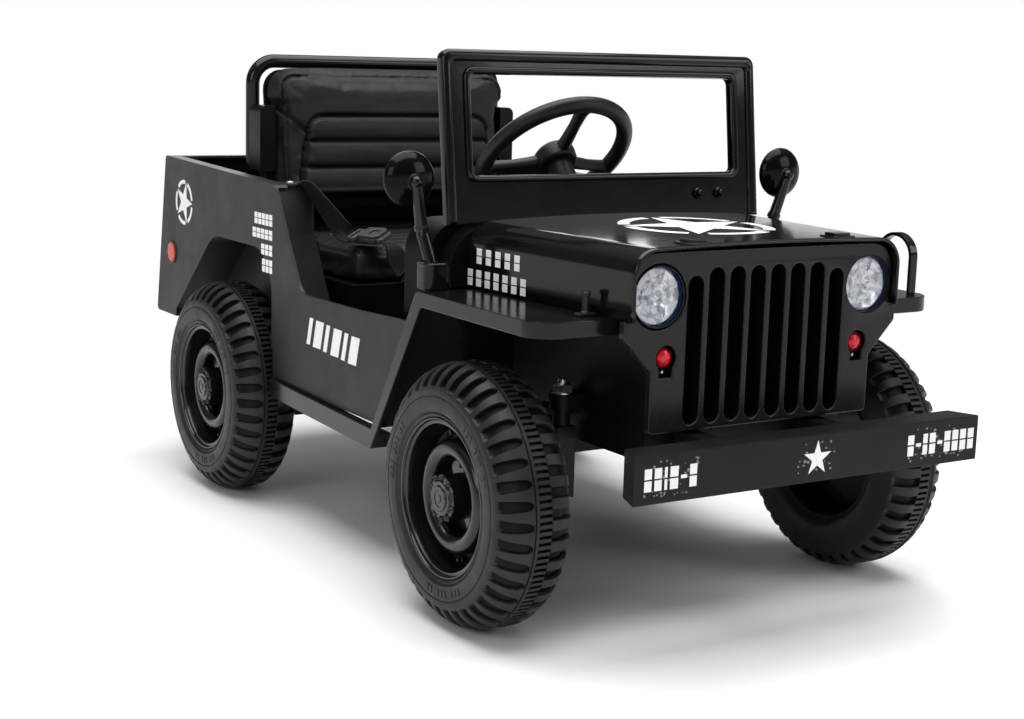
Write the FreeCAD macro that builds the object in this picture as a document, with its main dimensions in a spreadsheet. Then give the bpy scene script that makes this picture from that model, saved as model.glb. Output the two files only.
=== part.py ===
import FreeCAD, Part
import math
import os
from types import SimpleNamespace

import Sketcher

# Children's electric ride-on army 4x4 car, in millimetres
# +Z is up, the front looks towards -Y, and the origin is on the ground below the middle

DIMENSIONS = {
    # Wheels and tyres
    "wheel_radius": 133.0,
    "tyre_width": 80.0,
    "tyre_face_x": 286.0,
    "tyre_wall": 9.0,
    "tyre_bead_inset": 7.0,
    "tyre_bead_height": 9.0,
    "tyre_bead_round": 7.0,
    "tyre_shoulder_round": 38.0,
    "rim_radius": 80.0,
    "rim_ring_depth": 9.0,
    "rim_lip": 5.0,
    "rim_barrel_wall": 6.0,
    "rim_dish_depth": 27.0,
    "rim_step_depth": 6.0,
    "rim_back_inset": 10.0,
    "rim_bead_radius": 48.5,
    "rim_bead_width": 13.0,
    "rim_bead_rise": 6.0,
    "hub_radius": 23.0,
    "hub_rise": 22.0,
    "hub_cap_radius": 14.0,
    "hub_cap_rise": 5.0,
    "hub_bolt_circle": 18.5,
    "hub_bolt_radius": 2.6,
    "hub_bolt_rise": 3.0,
    "front_axle_y": -321.7,
    "rear_axle_y": 290.6,
    "axle_radius": 6.0,
    "axle_fit": 0.06,
    "axle_end_inset": 14.0,
    # Tub
    "tub_half": 245.0,
    "tub_wall": 4.0,
    "tub_floor_z": 163.0,
    "tub_floor_wall": 4.0,
    "tub_rear_top_y": 511.6,
    "tub_rear_top_z": 411.5,
    "tub_rear_low_y": 548.0,
    "tub_rear_low_z": 194.7,
    "tub_rear_round": 6.0,
    "tub_side_top_y": 153.9,
    "tub_side_top_z": 400.3,
    "tub_side_mid_y": 116.2,
    "tub_side_mid_z": 338.0,
    "tub_side_foot_y": 78.0,
    "tub_front_y": -190.5,
    "tub_door_z": 279.0,
    "tub_door_front_y": -70.0,
    "tub_door_front_z": 281.0,
    "tub_door_round": 30.0,
    "tub_shoulder_round": 14.0,
    "tub_arch_front_y": 160.5,
    "tub_arch_top_rear_y": 345.0,
    "tub_arch_top_z": 320.0,
    "tub_arch_rear_y": 476.0,
    "tub_arch_rear_z": 205.0,
    "tub_arch_round": 55.0,
    "well_inner": 190.0,
    "well_roof_z": 326.0,
    "bed_floor_z": 205.0,
    "tub_rim_width": 17.0,
    "jamb_low_z": 262.0,
    "jamb_outer_y": 76.0,
    "jamb_outer_mid_y": 120.0,
    "jamb_outer_top_y": 156.0,
    "jamb_inner_y": 112.0,
    "jamb_inner_mid_y": 158.0,
    "jamb_inner_top_y": 162.0,
    "jamb_mid_z": 340.0,
    "jamb_top_z": 397.0,
    "jamb_rear_y": 178.0,
    # Cowl and dashboard
    "cowl_half": 208.0,
    "cowl_rear_y": -128.0,
    "cowl_top_z": 384.0,
    "cowl_base_z": 286.0,
    "cowl_round": 40.0,
    "cowl_flange_half": 220.0,
    "cowl_flange_y": -182.0,
    "cowl_flange_top_z": 388.5,
    "cowl_flange_round": 36.0,
    "dash_face_y": -96.0,
    "dash_half": 176.0,
    "dash_top_z": 378.0,
    "dash_low_z": 300.0,
    "dash_round": 12.0,
    "dash_button_radius": 8.0,
    "dash_button_rise": 4.0,
    "dash_button_pitch": 30.0,
    # Fenders and steps
    "fender_edge": 252.5,
    "fender_top_z": 322.0,
    "fender_front_y": -441.0,
    "fender_bend_y": -212.0,
    "fender_join_y": -250.0,
    "fender_plate": 4.0,
    "fender_lip_drop": 16.0,
    "fender_lip_wall": 5.0,
    "fender_slope_lip": 11.0,
    "fender_foot_y": -117.0,
    "fender_foot_z": 159.0,
    "fender_tail_y": 150.0,
    "fender_tail_z": 167.0,
    "fender_tail_lip": 5.0,
    "fender_corner_round": 28.0,
    "fender_bend_round": 12.0,
    "sill_depth": 18.0,
    "sill_inner": 232.0,
    # Bonnet
    "bonnet_front_y": -472.0,
    "bonnet_front_half": 167.0,
    "bonnet_rear_half": 190.0,
    "bonnet_top_z": 391.0,
    "bonnet_wall": 4.0,
    "bonnet_round": 27.0,
    # Grille
    "grille_front_y": -464.0,
    "grille_wall": 8.0,
    "grille_half_top": 162.5,
    "grille_half_ear": 171.0,
    "grille_half_low": 138.0,
    "grille_knee_z": 305.0,
    "grille_hip_z": 271.0,
    "grille_low_z": 212.0,
    "grille_top_z": 386.0,
    "grille_round": 26.0,
    "slot_count": 8.0,
    "slot_pitch": 25.3,
    "slot_width": 18.6,
    "slot_low_z": 218.0,
    "slot_high_z": 368.5,
    "slot_outer_drop": 7.0,
    "headlamp_x": 131.4,
    "headlamp_z": 343.5,
    "headlamp_radius": 28.0,
    "headlamp_sink": 5.0,
    "headlamp_depth": 12.0,
    "lamp_fit": 0.3,
    "marker_x": 120.8,
    "marker_z": 284.6,
    "marker_lens_radius": 8.5,
    "marker_sink": 2.0,
    "marker_depth": 6.0,
    "grille_box_half": 101.0,
    "grille_box_depth": 16.0,
    "grille_box_top_z": 376.0,
    # Bumper
    "bumper_front_y": -547.5,
    "bumper_half": 215.0,
    "bumper_low_z": 171.0,
    "bumper_high_z": 217.0,
    "bumper_depth": 32.0,
    "bumper_mitre": 12.0,
    "bumper_wall": 4.0,
    "bracket_x": 78.0,
    "bracket_width": 22.0,
    "bracket_low_z": 176.0,
    "bracket_high_z": 208.0,
    # Nose liner under the bonnet
    "nose_half": 124.0,
    "nose_wall": 4.0,
    "nose_rear_y": -200.0,
    "nose_floor_z": 178.0,
    # Windscreen frame
    "screen_foot_y": -191.0,
    "screen_foot_z": 385.2,
    "screen_half": 207.3,
    "screen_height": 182.0,
    "screen_lean": 7.0,
    "screen_thick": 16.0,
    "screen_side": 33.5,
    "screen_top": 25.5,
    "screen_low": 51.0,
    "screen_round": 9.0,
    "screen_open_round": 7.0,
    "screen_knob_radius": 5.0,
    "screen_knob_rise": 6.0,
    "screen_knob_first_x": 122.0,
    "screen_knob_pitch": 30.0,
    "screen_knob_height": 27.0,
    # Roll bar
    "bar_radius": 9.0,
    "bar_half": 182.0,
    "bar_y": 363.0,
    "bar_top_z": 543.0,
    "bar_bend": 30.0,
    # Seat
    "seat_half": 174.0,
    "seat_back_low_y": 322.0,
    "seat_back_top_y": 349.0,
    "seat_back_low_z": 330.0,
    "seat_top_z": 537.0,
    "seat_shell_wall": 4.5,
    "seat_back_pad": 42.0,
    "seat_pad_inset": 5.0,
    "seat_front_y": 92.0,
    "seat_base_high_z": 284.0,
    "seat_base_half": 172.0,
    "seat_pad_thick": 42.0,
    "seat_ear_front_y": 318.0,
    "seat_ear_low_z": 402.0,
    "seat_ear_high_z": 487.0,
    "seat_gap": 0.3,
    # Seat belt
    "belt_width": 26.0,
    "belt_thick": 2.0,
    "belt_anchor_x": 226.0,
    "belt_anchor_y": 168.0,
    "belt_anchor_z": 398.3,
    "belt_lip_x": 187.0,
    "belt_lip_y": 168.0,
    "belt_lip_z": 398.3,
    "belt_rest_x": 164.0,
    "belt_rest_y": 146.0,
    "belt_rest_z": 336.0,
    "belt_pad_x": 150.0,
    "belt_pad_y": 128.0,
    "belt_pad_z": 330.0,
    "belt_edge_x": 124.0,
    "belt_edge_y": 89.0,
    "belt_edge_z": 331.0,
    "belt_fall_x": 104.0,
    "belt_fall_y": 88.0,
    "belt_fall_z": 300.0,
    "belt_low_x": 66.0,
    "belt_low_y": 88.0,
    "belt_low_z": 284.0,
    "buckle_x": 138.5,
    "buckle_y": 110.0,
    "buckle_z": 332.4,
    "buckle_turn": 56.0,
    "buckle_length": 46.0,
    "buckle_width": 36.0,
    "buckle_thick": 13.0,
    # Mirrors
    "mirror_x": 247.2,
    "mirror_y": -182.0,
    "mirror_z": 433.4,
    "mirror_radius": 29.0,
    "mirror_dome": 12.0,
    "mirror_rim": 5.0,
    "mirror_stalk_radius": 4.0,
    "mirror_knee_x": 235.0,
    "mirror_knee_y": -189.0,
    "mirror_knee_z": 380.0,
    "mirror_base_x": 229.0,
    "mirror_base_y": -206.0,
    "mirror_boss_width": 24.0,
    "mirror_boss_height": 28.0,
    # Small fittings
    "latch_x": 91.0,
    "latch_y": -458.0,
    "latch_width": 20.0,
    "latch_length": 26.0,
    "latch_rise": 6.0,
    "pin_x": 183.0,
    "pin_y": -417.0,
    "pin_radius": 3.5,
    "pin_height": 24.0,
    "pin_head_radius": 4.6,
    "pin_foot_width": 20.0,
    "pin_foot_height": 3.0,
    "hoop_x": 236.0,
    "hoop_y": -396.0,
    "hoop_half": 26.0,
    "hoop_height": 64.0,
    "hoop_width": 10.0,
    "hoop_thick": 4.0,
    "reflector_y": 489.9,
    "reflector_z": 281.5,
    "reflector_radius": 15.0,
    "reflector_rise": 2.0,
    "tail_lamp_x": 196.0,
    "tail_lamp_z": 300.0,
    "tail_lamp_radius": 15.0,
    "tail_lamp_rise": 7.0,
    # Steering
    "steer_wheel_y": -77.0,
    "steer_wheel_z": 448.0,
    "steer_wheel_radius": 88.0,
    "steer_rim_radius": 10.0,
    "steer_lean": 46.0,
    "steer_hub_radius": 25.0,
    "steer_hub_height": 26.0,
    "steer_spoke_radius": 7.0,
    "steer_shaft_radius": 6.0,
    "steer_shaft_length": 283.0,
    "steer_crank": 17.0,
    "steer_crank_thick": 6.0,
    "steer_pin_length": 20.0,
    "steer_pin_radius": 4.0,
    "column_radius": 15.0,
    "column_length": 92.0,
    "column_head_gap": 2.0,
    # Front axle, knuckles and tie rod
    "kingpin_x": 142.0,
    "kingpin_radius": 5.0,
    "kingpin_top_z": 242.0,
    "kingpin_low_z": 120.0,
    "nut_radius": 9.0,
    "nut_height": 9.0,
    "beam_low_z": 212.0,
    "beam_high_z": 227.0,
    "beam_depth": 26.0,
    "beam_post_x": 62.0,
    "beam_post_width": 24.0,
    "knuckle_block": 22.0,
    "knuckle_block_high_z": 194.0,
    "arm_length": 30.0,
    "arm_low_z": 204.0,
    "arm_thick": 6.0,
    "arm_width": 18.0,
    "arm_slot_slack": 0.8,
    "arm_slot_length": 14.0,
    "rod_thick": 6.0,
    "rod_width": 18.0,
    "rod_gap": 2.0,
    "rod_pin_radius": 4.0,
    "fork_post_width": 6.0,
    "fork_gap": 1.2,
    "fork_front": 6.0,
    "fork_length": 28.0,
    "fork_height": 11.5,
    # Chassis, drive and battery
    "chassis_half": 118.0,
    "chassis_low_z": 134.0,
    "chassis_wall": 4.0,
    "chassis_front_y": -196.0,
    "gearbox_inner": 96.0,
    "gearbox_outer": 176.0,
    "gearbox_length": 120.0,
    "gearbox_low_z": 96.0,
    "battery_width": 150.0,
    "battery_length": 44.0,
    "battery_height": 90.0,
    # Pedal and lever
    "pedal_x": 70.0,
    "pedal_y": -138.0,
    "pedal_width": 52.0,
    "pedal_length": 92.0,
    "pedal_thick": 8.0,
    "pedal_lean": 35.0,
    "lever_x": 92.0,
    "lever_y": 40.0,
    "lever_radius": 5.0,
    "lever_height": 92.0,
    "lever_knob_radius": 12.0,
    "overrun": 20.0,
}


class Size:
    """A length or angle with its worth in the model and the sheet formula that it is bound by."""

    def __init__(self, worth, formula):
        self.worth = worth
        self.formula = formula

    def joined(self, sign, other, worth):
        return Size(worth, "(" + self.formula + sign + formula_of(other) + ")")

    def __add__(self, other):
        return self.joined(" + ", other, self.worth + worth_of(other))

    def __sub__(self, other):
        return self.joined(" - ", other, self.worth - worth_of(other))

    def __mul__(self, other):
        return self.joined(" * ", other, self.worth * worth_of(other))

    def __truediv__(self, other):
        return self.joined(" / ", other, self.worth / worth_of(other))

    def __radd__(self, other):
        return Size(other, str(other)) + self

    def __neg__(self):
        return Size(-self.worth, "(-" + self.formula + ")")


def worth_of(value):
    """The plain number behind a size or a number."""
    return value.worth if isinstance(value, Size) else float(value)


def formula_of(value):
    """The formula behind a size or a number."""
    return value.formula if isinstance(value, Size) else repr(float(value))


doc = FreeCAD.newDocument("RideOnCar")
sheet = doc.addObject("Spreadsheet::Sheet", "Sizes")
for row, (alias, value) in enumerate(DIMENSIONS.items(), start=1):
    sheet.set("A" + str(row), alias)
    sheet.set("B" + str(row), str(value))
    sheet.setAlias("B" + str(row), alias)
doc.recompute()

D = SimpleNamespace(**{name: Size(value, "Sizes." + name) for name, value in DIMENSIONS.items()})
ZERO = Size(0.0, "0")
FULL_TURN = 360
HALF_TURN = 180
RIGHT_ANGLE = 90
SPOKE_TURNS = (0, 105, 255)
HUB_BOLT_COUNT = 8
DASH_BUTTON_COUNT = 3
SLOT_ROUND_SHARE = 0.98
BELT_STOPS = ("anchor", "lip", "rest", "pad", "edge", "fall", "low")
BELT_WIDTH_WAYS = ((0, 1, 0), (0, 1, 0), (4, -3, 0), (4, -3, 0), (1, 0, 0), (0, 0, 1), (0, 0, 1))
RIGHT = -1
LEFT = 1
SIDES = {"right": RIGHT, "left": LEFT}
nodes = []


def bind(thing, prop, size):
    """Ties a property of an object to a size."""
    thing.setExpression(prop, formula_of(size))


def rounded_points(corners):
    """Start, middle and end of each round corner, and the plain point of each sharp one."""
    stops = []
    count = len(corners)
    for index, corner in enumerate(corners):
        here = FreeCAD.Vector(worth_of(corner[0]), worth_of(corner[1]), 0)
        if len(corner) < 3:
            stops.append((here, here, None))
            continue
        before = corners[index - 1]
        after = corners[(index + 1) % count]
        back = FreeCAD.Vector(worth_of(before[0]), worth_of(before[1]), 0) - here
        on = FreeCAD.Vector(worth_of(after[0]), worth_of(after[1]), 0) - here
        back.normalize()
        on.normalize()
        half = back.getAngle(on) / 2
        radius = worth_of(corner[2])
        reach = radius / math.tan(half)
        middle = back + on
        middle.normalize()
        centre = here + middle * (radius / math.sin(half))
        stops.append((here + back * reach, here + on * reach, centre))
    return stops


class Piece:
    """A body with short ways to add sketched features that are bound to the sheet."""

    def __init__(self, label, whole=True):
        self.body = doc.addObject("PartDesign::Body", label)
        self.body.Label = label
        self.count = 0
        if whole:
            nodes.append(self.body)

    def sketch(self, role, offset=None):
        """A sketch on one of the body's own origin planes, moved along its normal."""
        self.count += 1
        name = self.body.Name + "Sketch" + str(self.count)
        sketch = self.body.newObject("Sketcher::SketchObject", name)
        plane = [item for item in self.body.Origin.OriginFeatures if item.Role == role][0]
        sketch.AttachmentSupport = [(plane, "")]
        sketch.MapMode = "FlatFace"
        if offset is not None:
            sketch.AttachmentOffset = FreeCAD.Placement(
                FreeCAD.Vector(0, 0, worth_of(offset)), FreeCAD.Rotation())
            bind(sketch, "AttachmentOffset.Base.z", offset)
        return sketch

    def draw(self, sketch, shapes):
        """Draws outlines, given as lists of corners, and circles, given as (u, v, radius)."""
        for shape in shapes:
            if isinstance(shape, tuple):
                draw_circle(sketch, shape)
            else:
                draw_outline(sketch, shape)

    def span(self, role, low, high):
        """The low and high ends along a plane's normal: that of XZ_Plane looks towards -Y."""
        return (-high, -low) if role == "XZ_Plane" else (low, high)

    def pad(self, role, shapes, low, high):
        """Adds the shapes, drawn out between two places along the plane's normal."""
        start, end = self.span(role, low, high)
        sketch = self.sketch(role, start)
        self.draw(sketch, shapes)
        feature = self.body.newObject("PartDesign::Pad", self.body.Name + "Pad" + str(self.count))
        feature.Profile = sketch
        bind(feature, "Length", end - start)
        return feature

    def cut(self, role, shapes, low, high):
        """Takes the shapes away between two places along the plane's normal."""
        start, end = self.span(role, low, high)
        sketch = self.sketch(role, end)
        self.draw(sketch, shapes)
        feature = self.body.newObject("PartDesign::Pocket", self.body.Name + "Cut" + str(self.count))
        feature.Profile = sketch
        bind(feature, "Length", end - start)
        return feature

    def turn(self, role, shapes, kind="PartDesign::Revolution", axis="H_Axis"):
        """Turns the shapes round one of the sketch's own axes."""
        sketch = self.sketch(role)
        self.draw(sketch, shapes)
        feature = self.body.newObject(kind, self.body.Name + "Turn" + str(self.count))
        feature.Profile = sketch
        feature.ReferenceAxis = (sketch, [axis])
        feature.Angle = FULL_TURN
        return feature

    def loft(self, role, first, low, second, high, kind="PartDesign::AdditiveLoft"):
        """Joins two outlines that stand at two places along the plane's normal."""
        sketches = []
        for shape, place in ((first, low), (second, high)):
            sketch = self.sketch(role, -place if role == "XZ_Plane" else place)
            self.draw(sketch, [shape])
            sketches.append(sketch)
        feature = self.body.newObject(kind, self.body.Name + "Loft" + str(self.count))
        feature.Profile = sketches[0]
        feature.Sections = [sketches[1]]
        feature.Ruled = True
        return feature

    def repeat(self, feature, count, role="YZ_Plane"):
        """Copies a feature round the body's X axis."""
        pattern = self.body.newObject("PartDesign::PolarPattern", feature.Name + "Round")
        pattern.Originals = [feature]
        axis = [item for item in self.body.Origin.OriginFeatures if item.Role == "X_Axis"][0]
        pattern.Axis = (axis, [""])
        pattern.Angle = FULL_TURN
        pattern.Occurrences = count
        self.body.Tip = pattern
        return pattern

    def place(self, place, turn=None, axis=(0, 0, 1)):
        """Puts the body at a place, turned by an angle size or number of degrees."""
        self.body.Placement = FreeCAD.Placement(
            FreeCAD.Vector(*[worth_of(item) for item in place]),
            FreeCAD.Rotation(FreeCAD.Vector(*axis), worth_of(turn) if turn is not None else 0))
        for letter, item in zip("xyz", place):
            bind(self.body, "Placement.Base." + letter, item)
        if isinstance(turn, Size):
            bind(self.body, "Placement.Rotation.Angle", turn)


def pin_point(sketch, item, end, u, v):
    """Holds one point of a sketch at a place that the sheet gives."""
    for kind, value in (("DistanceX", u), ("DistanceY", v)):
        if worth_of(value) == 0 and formula_of(value) in ("0", "0.0"):
            rule = Sketcher.Constraint(
                "PointOnObject", item, end, -2 if kind == "DistanceX" else -1)
            sketch.addConstraint(rule)
            continue
        number = sketch.addConstraint(
            Sketcher.Constraint(kind, -1, 1, item, end, worth_of(value)))
        bind(sketch, "Constraints[" + str(number) + "]", value)


def draw_circle(sketch, shape):
    """A circle held by its centre and radius."""
    u, v, radius = shape
    centre = FreeCAD.Vector(worth_of(u), worth_of(v), 0)
    item = sketch.addGeometry(Part.Circle(centre, FreeCAD.Vector(0, 0, 1), worth_of(radius)), False)
    pin_point(sketch, item, 3, u, v)
    number = sketch.addConstraint(Sketcher.Constraint("Radius", item, worth_of(radius)))
    bind(sketch, "Constraints[" + str(number) + "]", radius)


def draw_outline(sketch, corners):
    """A closed outline whose corners may be rounded, each (u, v) or (u, v, radius)."""
    stops = rounded_points(corners)
    count = len(corners)
    lines = []
    for index in range(count):
        begin = stops[index][1]
        finish = stops[(index + 1) % count][0]
        lines.append(sketch.addGeometry(Part.LineSegment(begin, finish), False))
    for index, corner in enumerate(corners):
        before, after = lines[index - 1], lines[index]
        if len(corner) < 3:
            sketch.addConstraint(Sketcher.Constraint("Coincident", before, 2, after, 1))
            pin_point(sketch, after, 1, corner[0], corner[1])
            continue
        begin, finish, centre = stops[index]
        radius = worth_of(corner[2])
        tip = FreeCAD.Vector(worth_of(corner[0]), worth_of(corner[1]), 0)
        leftward = (tip - begin).cross(finish - tip).z > 0
        ends = (begin, finish) if leftward else (finish, begin)
        angles = [math.atan2(end.y - centre.y, end.x - centre.x) for end in ends]
        circle = Part.Circle(centre, FreeCAD.Vector(0, 0, 1), radius)
        item = sketch.addGeometry(Part.ArcOfCircle(circle, angles[0], angles[1]), False)
        first, second = (1, 2) if leftward else (2, 1)
        sketch.addConstraint(Sketcher.Constraint("Tangent", before, 2, item, first))
        sketch.addConstraint(Sketcher.Constraint("Tangent", after, 1, item, second))
        number = sketch.addConstraint(Sketcher.Constraint("Radius", item, radius))
        bind(sketch, "Constraints[" + str(number) + "]", corner[2])
        point = sketch.addGeometry(Part.Point(tip), True)
        pin_point(sketch, point, 1, corner[0], corner[1])
        sketch.addConstraint(Sketcher.Constraint("PointOnObject", point, 1, before))
        sketch.addConstraint(Sketcher.Constraint("PointOnObject", point, 1, after))


def block(low_u, high_u, low_v, high_v, radius=None):
    """The corners of a rectangle, rounded if a radius is given."""
    corners = [(low_u, low_v), (high_u, low_v), (high_u, high_v), (low_u, high_v)]
    return [corner + (radius,) for corner in corners] if radius is not None else corners


def mirrored(side, low, high):
    """A span across the car that starts on the left, put on the side that is asked for."""
    return (low, high) if side == LEFT else (-high, -low)


def across(side, value):
    """A place across the car on the side that is asked for."""
    return value if side == LEFT else -value


def make_tyre(name, side, axle_y):
    """A hollow tyre carcass, open towards its rim."""
    piece = Piece(name)
    half = D.tyre_width / 2
    outer = [
        (-half + D.tyre_bead_inset, D.rim_radius),
        (-half, D.rim_radius + D.tyre_bead_height, D.tyre_bead_round),
        (-half, D.wheel_radius, D.tyre_shoulder_round),
        (half, D.wheel_radius, D.tyre_shoulder_round),
        (half, D.rim_radius + D.tyre_bead_height, D.tyre_bead_round),
        (half - D.tyre_bead_inset, D.rim_radius),
    ]
    piece.turn("XY_Plane", [outer])
    hollow = block(-half + D.tyre_wall * 2, half - D.tyre_wall * 2,
                   ZERO + D.rim_radius - D.tyre_wall, D.wheel_radius - D.tyre_wall * 2)
    piece.turn("XY_Plane", [hollow], "PartDesign::Groove")
    piece.place((across(side, D.tyre_face_x - half), axle_y, D.wheel_radius))
    return piece


def make_rim(name, side, axle_y):
    """A dished rim with a raised ring, a hub cap and its bolts."""
    piece = Piece(name)
    half = D.tyre_width / 2 - D.tyre_bead_inset
    bore = D.axle_radius + D.axle_fit
    dish = half - D.rim_dish_depth
    profile = [
        (-half + D.rim_back_inset, bore),
        (-half + D.rim_back_inset, D.rim_radius - D.rim_barrel_wall),
        (-half, D.rim_radius - D.rim_barrel_wall),
        (-half, D.rim_radius),
        (half, D.rim_radius),
        (half, D.rim_radius - D.rim_lip),
        (half - D.rim_ring_depth, D.rim_radius - D.rim_ring_depth),
        (dish, D.rim_bead_radius + D.rim_bead_width / 2 + D.rim_step_depth),
        (dish, D.rim_bead_radius + D.rim_bead_width / 2),
        (dish + D.rim_bead_rise, D.rim_bead_radius + D.rim_bead_width / 4),
        (dish + D.rim_bead_rise, D.rim_bead_radius - D.rim_bead_width / 4),
        (dish, D.rim_bead_radius - D.rim_bead_width / 2),
        (dish, D.hub_radius),
        (dish + D.hub_rise, D.hub_radius),
        (dish + D.hub_rise, D.hub_cap_radius),
        (dish + D.hub_rise + D.hub_cap_rise, D.hub_cap_radius),
        (dish + D.hub_rise + D.hub_cap_rise, bore),
    ]
    piece.turn("XY_Plane", [profile])
    bolt = piece.pad("YZ_Plane", [(ZERO, D.hub_bolt_circle, D.hub_bolt_radius)],
                     dish + D.hub_rise, dish + D.hub_rise + D.hub_bolt_rise)
    piece.repeat(bolt, HUB_BOLT_COUNT)
    turn = 0 if side == LEFT else HALF_TURN
    piece.place((across(side, D.tyre_face_x - D.tyre_width / 2), axle_y, D.wheel_radius), turn)
    return piece


def make_tub():
    """The hollow tub: sides, rear panel, wheel wells, bed and foot well."""
    piece = Piece("tub")
    side = [
        (D.tub_rear_low_y, D.tub_rear_low_z, D.tub_rear_round),
        (D.tub_rear_top_y, D.tub_rear_top_z, D.tub_rear_round),
        (D.tub_side_top_y, D.tub_side_top_z, D.tub_shoulder_round),
        (D.tub_side_mid_y, D.tub_side_mid_z),
        (D.tub_side_foot_y, D.tub_door_z, D.tub_door_round),
        (D.tub_door_front_y, D.tub_door_front_z),
        (D.tub_front_y, D.cowl_base_z),
        (D.fender_foot_y + D.seat_gap, D.tub_floor_z),
        (D.tub_arch_front_y - D.tub_wall, D.tub_floor_z),
        (D.tub_arch_front_y - D.tub_wall, D.bed_floor_z - D.tub_floor_wall),
        (D.tub_arch_rear_y, D.bed_floor_z - D.tub_floor_wall),
        (D.tub_arch_rear_y, D.tub_rear_low_z),
    ]
    piece.pad("YZ_Plane", [side], -D.tub_half, D.tub_half)
    inner = D.tub_half - D.tub_wall
    rear_inner = D.tub_rear_top_y - D.tub_wall
    cabin = [
        (rear_inner, D.well_roof_z + D.tub_floor_wall),
        (rear_inner, D.tub_rear_top_z - D.tub_wall),
        (D.tub_side_top_y, D.tub_side_top_z - D.tub_wall),
        (D.fender_bend_y, D.tub_side_top_z - D.tub_wall),
        (D.tub_front_y + D.tub_wall, D.cowl_base_z),
        (D.fender_foot_y + D.tub_wall, D.tub_floor_z + D.tub_floor_wall),
        (D.tub_arch_front_y - D.tub_wall * 2, D.tub_floor_z + D.tub_floor_wall),
        (D.tub_arch_front_y - D.tub_wall * 2, D.well_roof_z + D.tub_floor_wall),
    ]
    piece.cut("YZ_Plane", [cabin], -inner, inner)
    mouth = block(D.tub_side_foot_y, D.tub_rear_top_y - D.tub_rim_width,
                  D.tub_side_mid_z, D.tub_rear_top_z + D.overrun)
    rim = D.tub_half - D.tub_rim_width
    piece.cut("YZ_Plane", [mouth], -rim, rim)
    bed = block(D.tub_arch_front_y - D.tub_wall * 3, rear_inner,
                D.bed_floor_z, D.well_roof_z + D.tub_floor_wall * 2)
    piece.cut("YZ_Plane", [bed], -D.well_inner + D.tub_wall, D.well_inner - D.tub_wall)
    arch = [
        (D.tub_arch_front_y, D.tub_floor_z - D.overrun),
        (D.tub_arch_front_y, D.tub_arch_top_z, D.tub_arch_round),
        (D.tub_arch_top_rear_y, D.tub_arch_top_z, D.tub_arch_round),
        (D.tub_arch_rear_y, D.tub_arch_rear_z),
        (D.tub_arch_rear_y, D.tub_floor_z - D.overrun),
    ]
    for low, high in ((-D.tub_half, -D.well_inner), (D.well_inner, D.tub_half)):
        piece.cut("YZ_Plane", [arch], low, high)
    roof = D.well_roof_z + D.tub_wall / 2
    heel = [
        (D.jamb_rear_y, D.jamb_top_z),
        (D.jamb_rear_y, roof),
        (D.tub_arch_front_y, roof),
        (D.tub_arch_front_y, D.jamb_low_z),
    ]
    outer_face = [
        (D.jamb_outer_y, D.jamb_low_z),
        (D.jamb_outer_mid_y, D.jamb_mid_z),
        (D.jamb_outer_top_y, D.jamb_top_z),
    ]
    inner_face = [
        (D.jamb_inner_y, D.jamb_low_z),
        (D.jamb_inner_mid_y, D.jamb_mid_z),
        (D.jamb_inner_top_y, D.jamb_top_z),
    ]
    for side_sign in SIDES.values():
        piece.loft("YZ_Plane", outer_face + heel, across(side_sign, inner + D.tub_wall / 2),
                   inner_face + heel, across(side_sign, D.well_inner))
    return piece


def make_cowl(column_way):
    """The cowl between the bonnet and the foot well, which carries the windscreen."""
    piece = Piece("cowl_shell", False)
    top = D.cowl_top_z
    face = [
        (-D.cowl_half, D.fender_top_z),
        (D.cowl_half, D.fender_top_z),
        (D.cowl_half, top, D.cowl_round),
        (-D.cowl_half, top, D.cowl_round),
    ]
    front = D.screen_foot_y - D.screen_thick
    piece.pad("XZ_Plane", [face], front, D.cowl_rear_y)
    wall = D.tub_wall
    hollow = [
        (-D.cowl_half + wall, D.fender_top_z - D.overrun),
        (D.cowl_half - wall, D.fender_top_z - D.overrun),
        (D.cowl_half - wall, top - wall, D.cowl_round - wall),
        (-D.cowl_half + wall, top - wall, D.cowl_round - wall),
    ]
    piece.cut("XZ_Plane", [hollow], front + wall, D.cowl_rear_y - wall)
    half, low, high = D.cowl_flange_half, D.cowl_base_z + D.seat_gap, D.cowl_flange_top_z
    flange = [
        (-half, low),
        (half, low),
        (half, high, D.cowl_flange_round),
        (-half, high, D.cowl_flange_round),
    ]
    piece.pad("XZ_Plane", [flange], D.cowl_flange_y, D.cowl_rear_y)
    hollow = [
        (-half + wall, low - D.overrun),
        (half - wall, low - D.overrun),
        (half - wall, high - wall, D.cowl_flange_round - wall),
        (-half + wall, high - wall, D.cowl_flange_round - wall),
    ]
    piece.cut("XZ_Plane", [hollow], D.cowl_flange_y + wall, D.cowl_rear_y - wall)
    return drilled("cowl", piece.body, column_way)


def drilled(label, base, tool):
    """A sub-part with a hole that runs aslant."""
    cut = doc.addObject("Part::Cut", label)
    cut.Label = label
    cut.Base = base
    cut.Tool = tool
    nodes.append(cut)
    return cut


def make_column_way():
    """The aslant way of the steering column's sleeve through the cowl and the nose."""
    way = doc.addObject("Part::Cylinder", "column_way")
    bind(way, "Radius", D.column_radius)
    bind(way, "Height", D.steer_shaft_length)
    head, down, crank = steering_frame()
    turn = FreeCAD.Rotation(FreeCAD.Vector(0, 0, 1), down)
    start = head + down * D.steer_hub_height.worth
    way.Placement = FreeCAD.Placement(start, turn)
    return way


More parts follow.
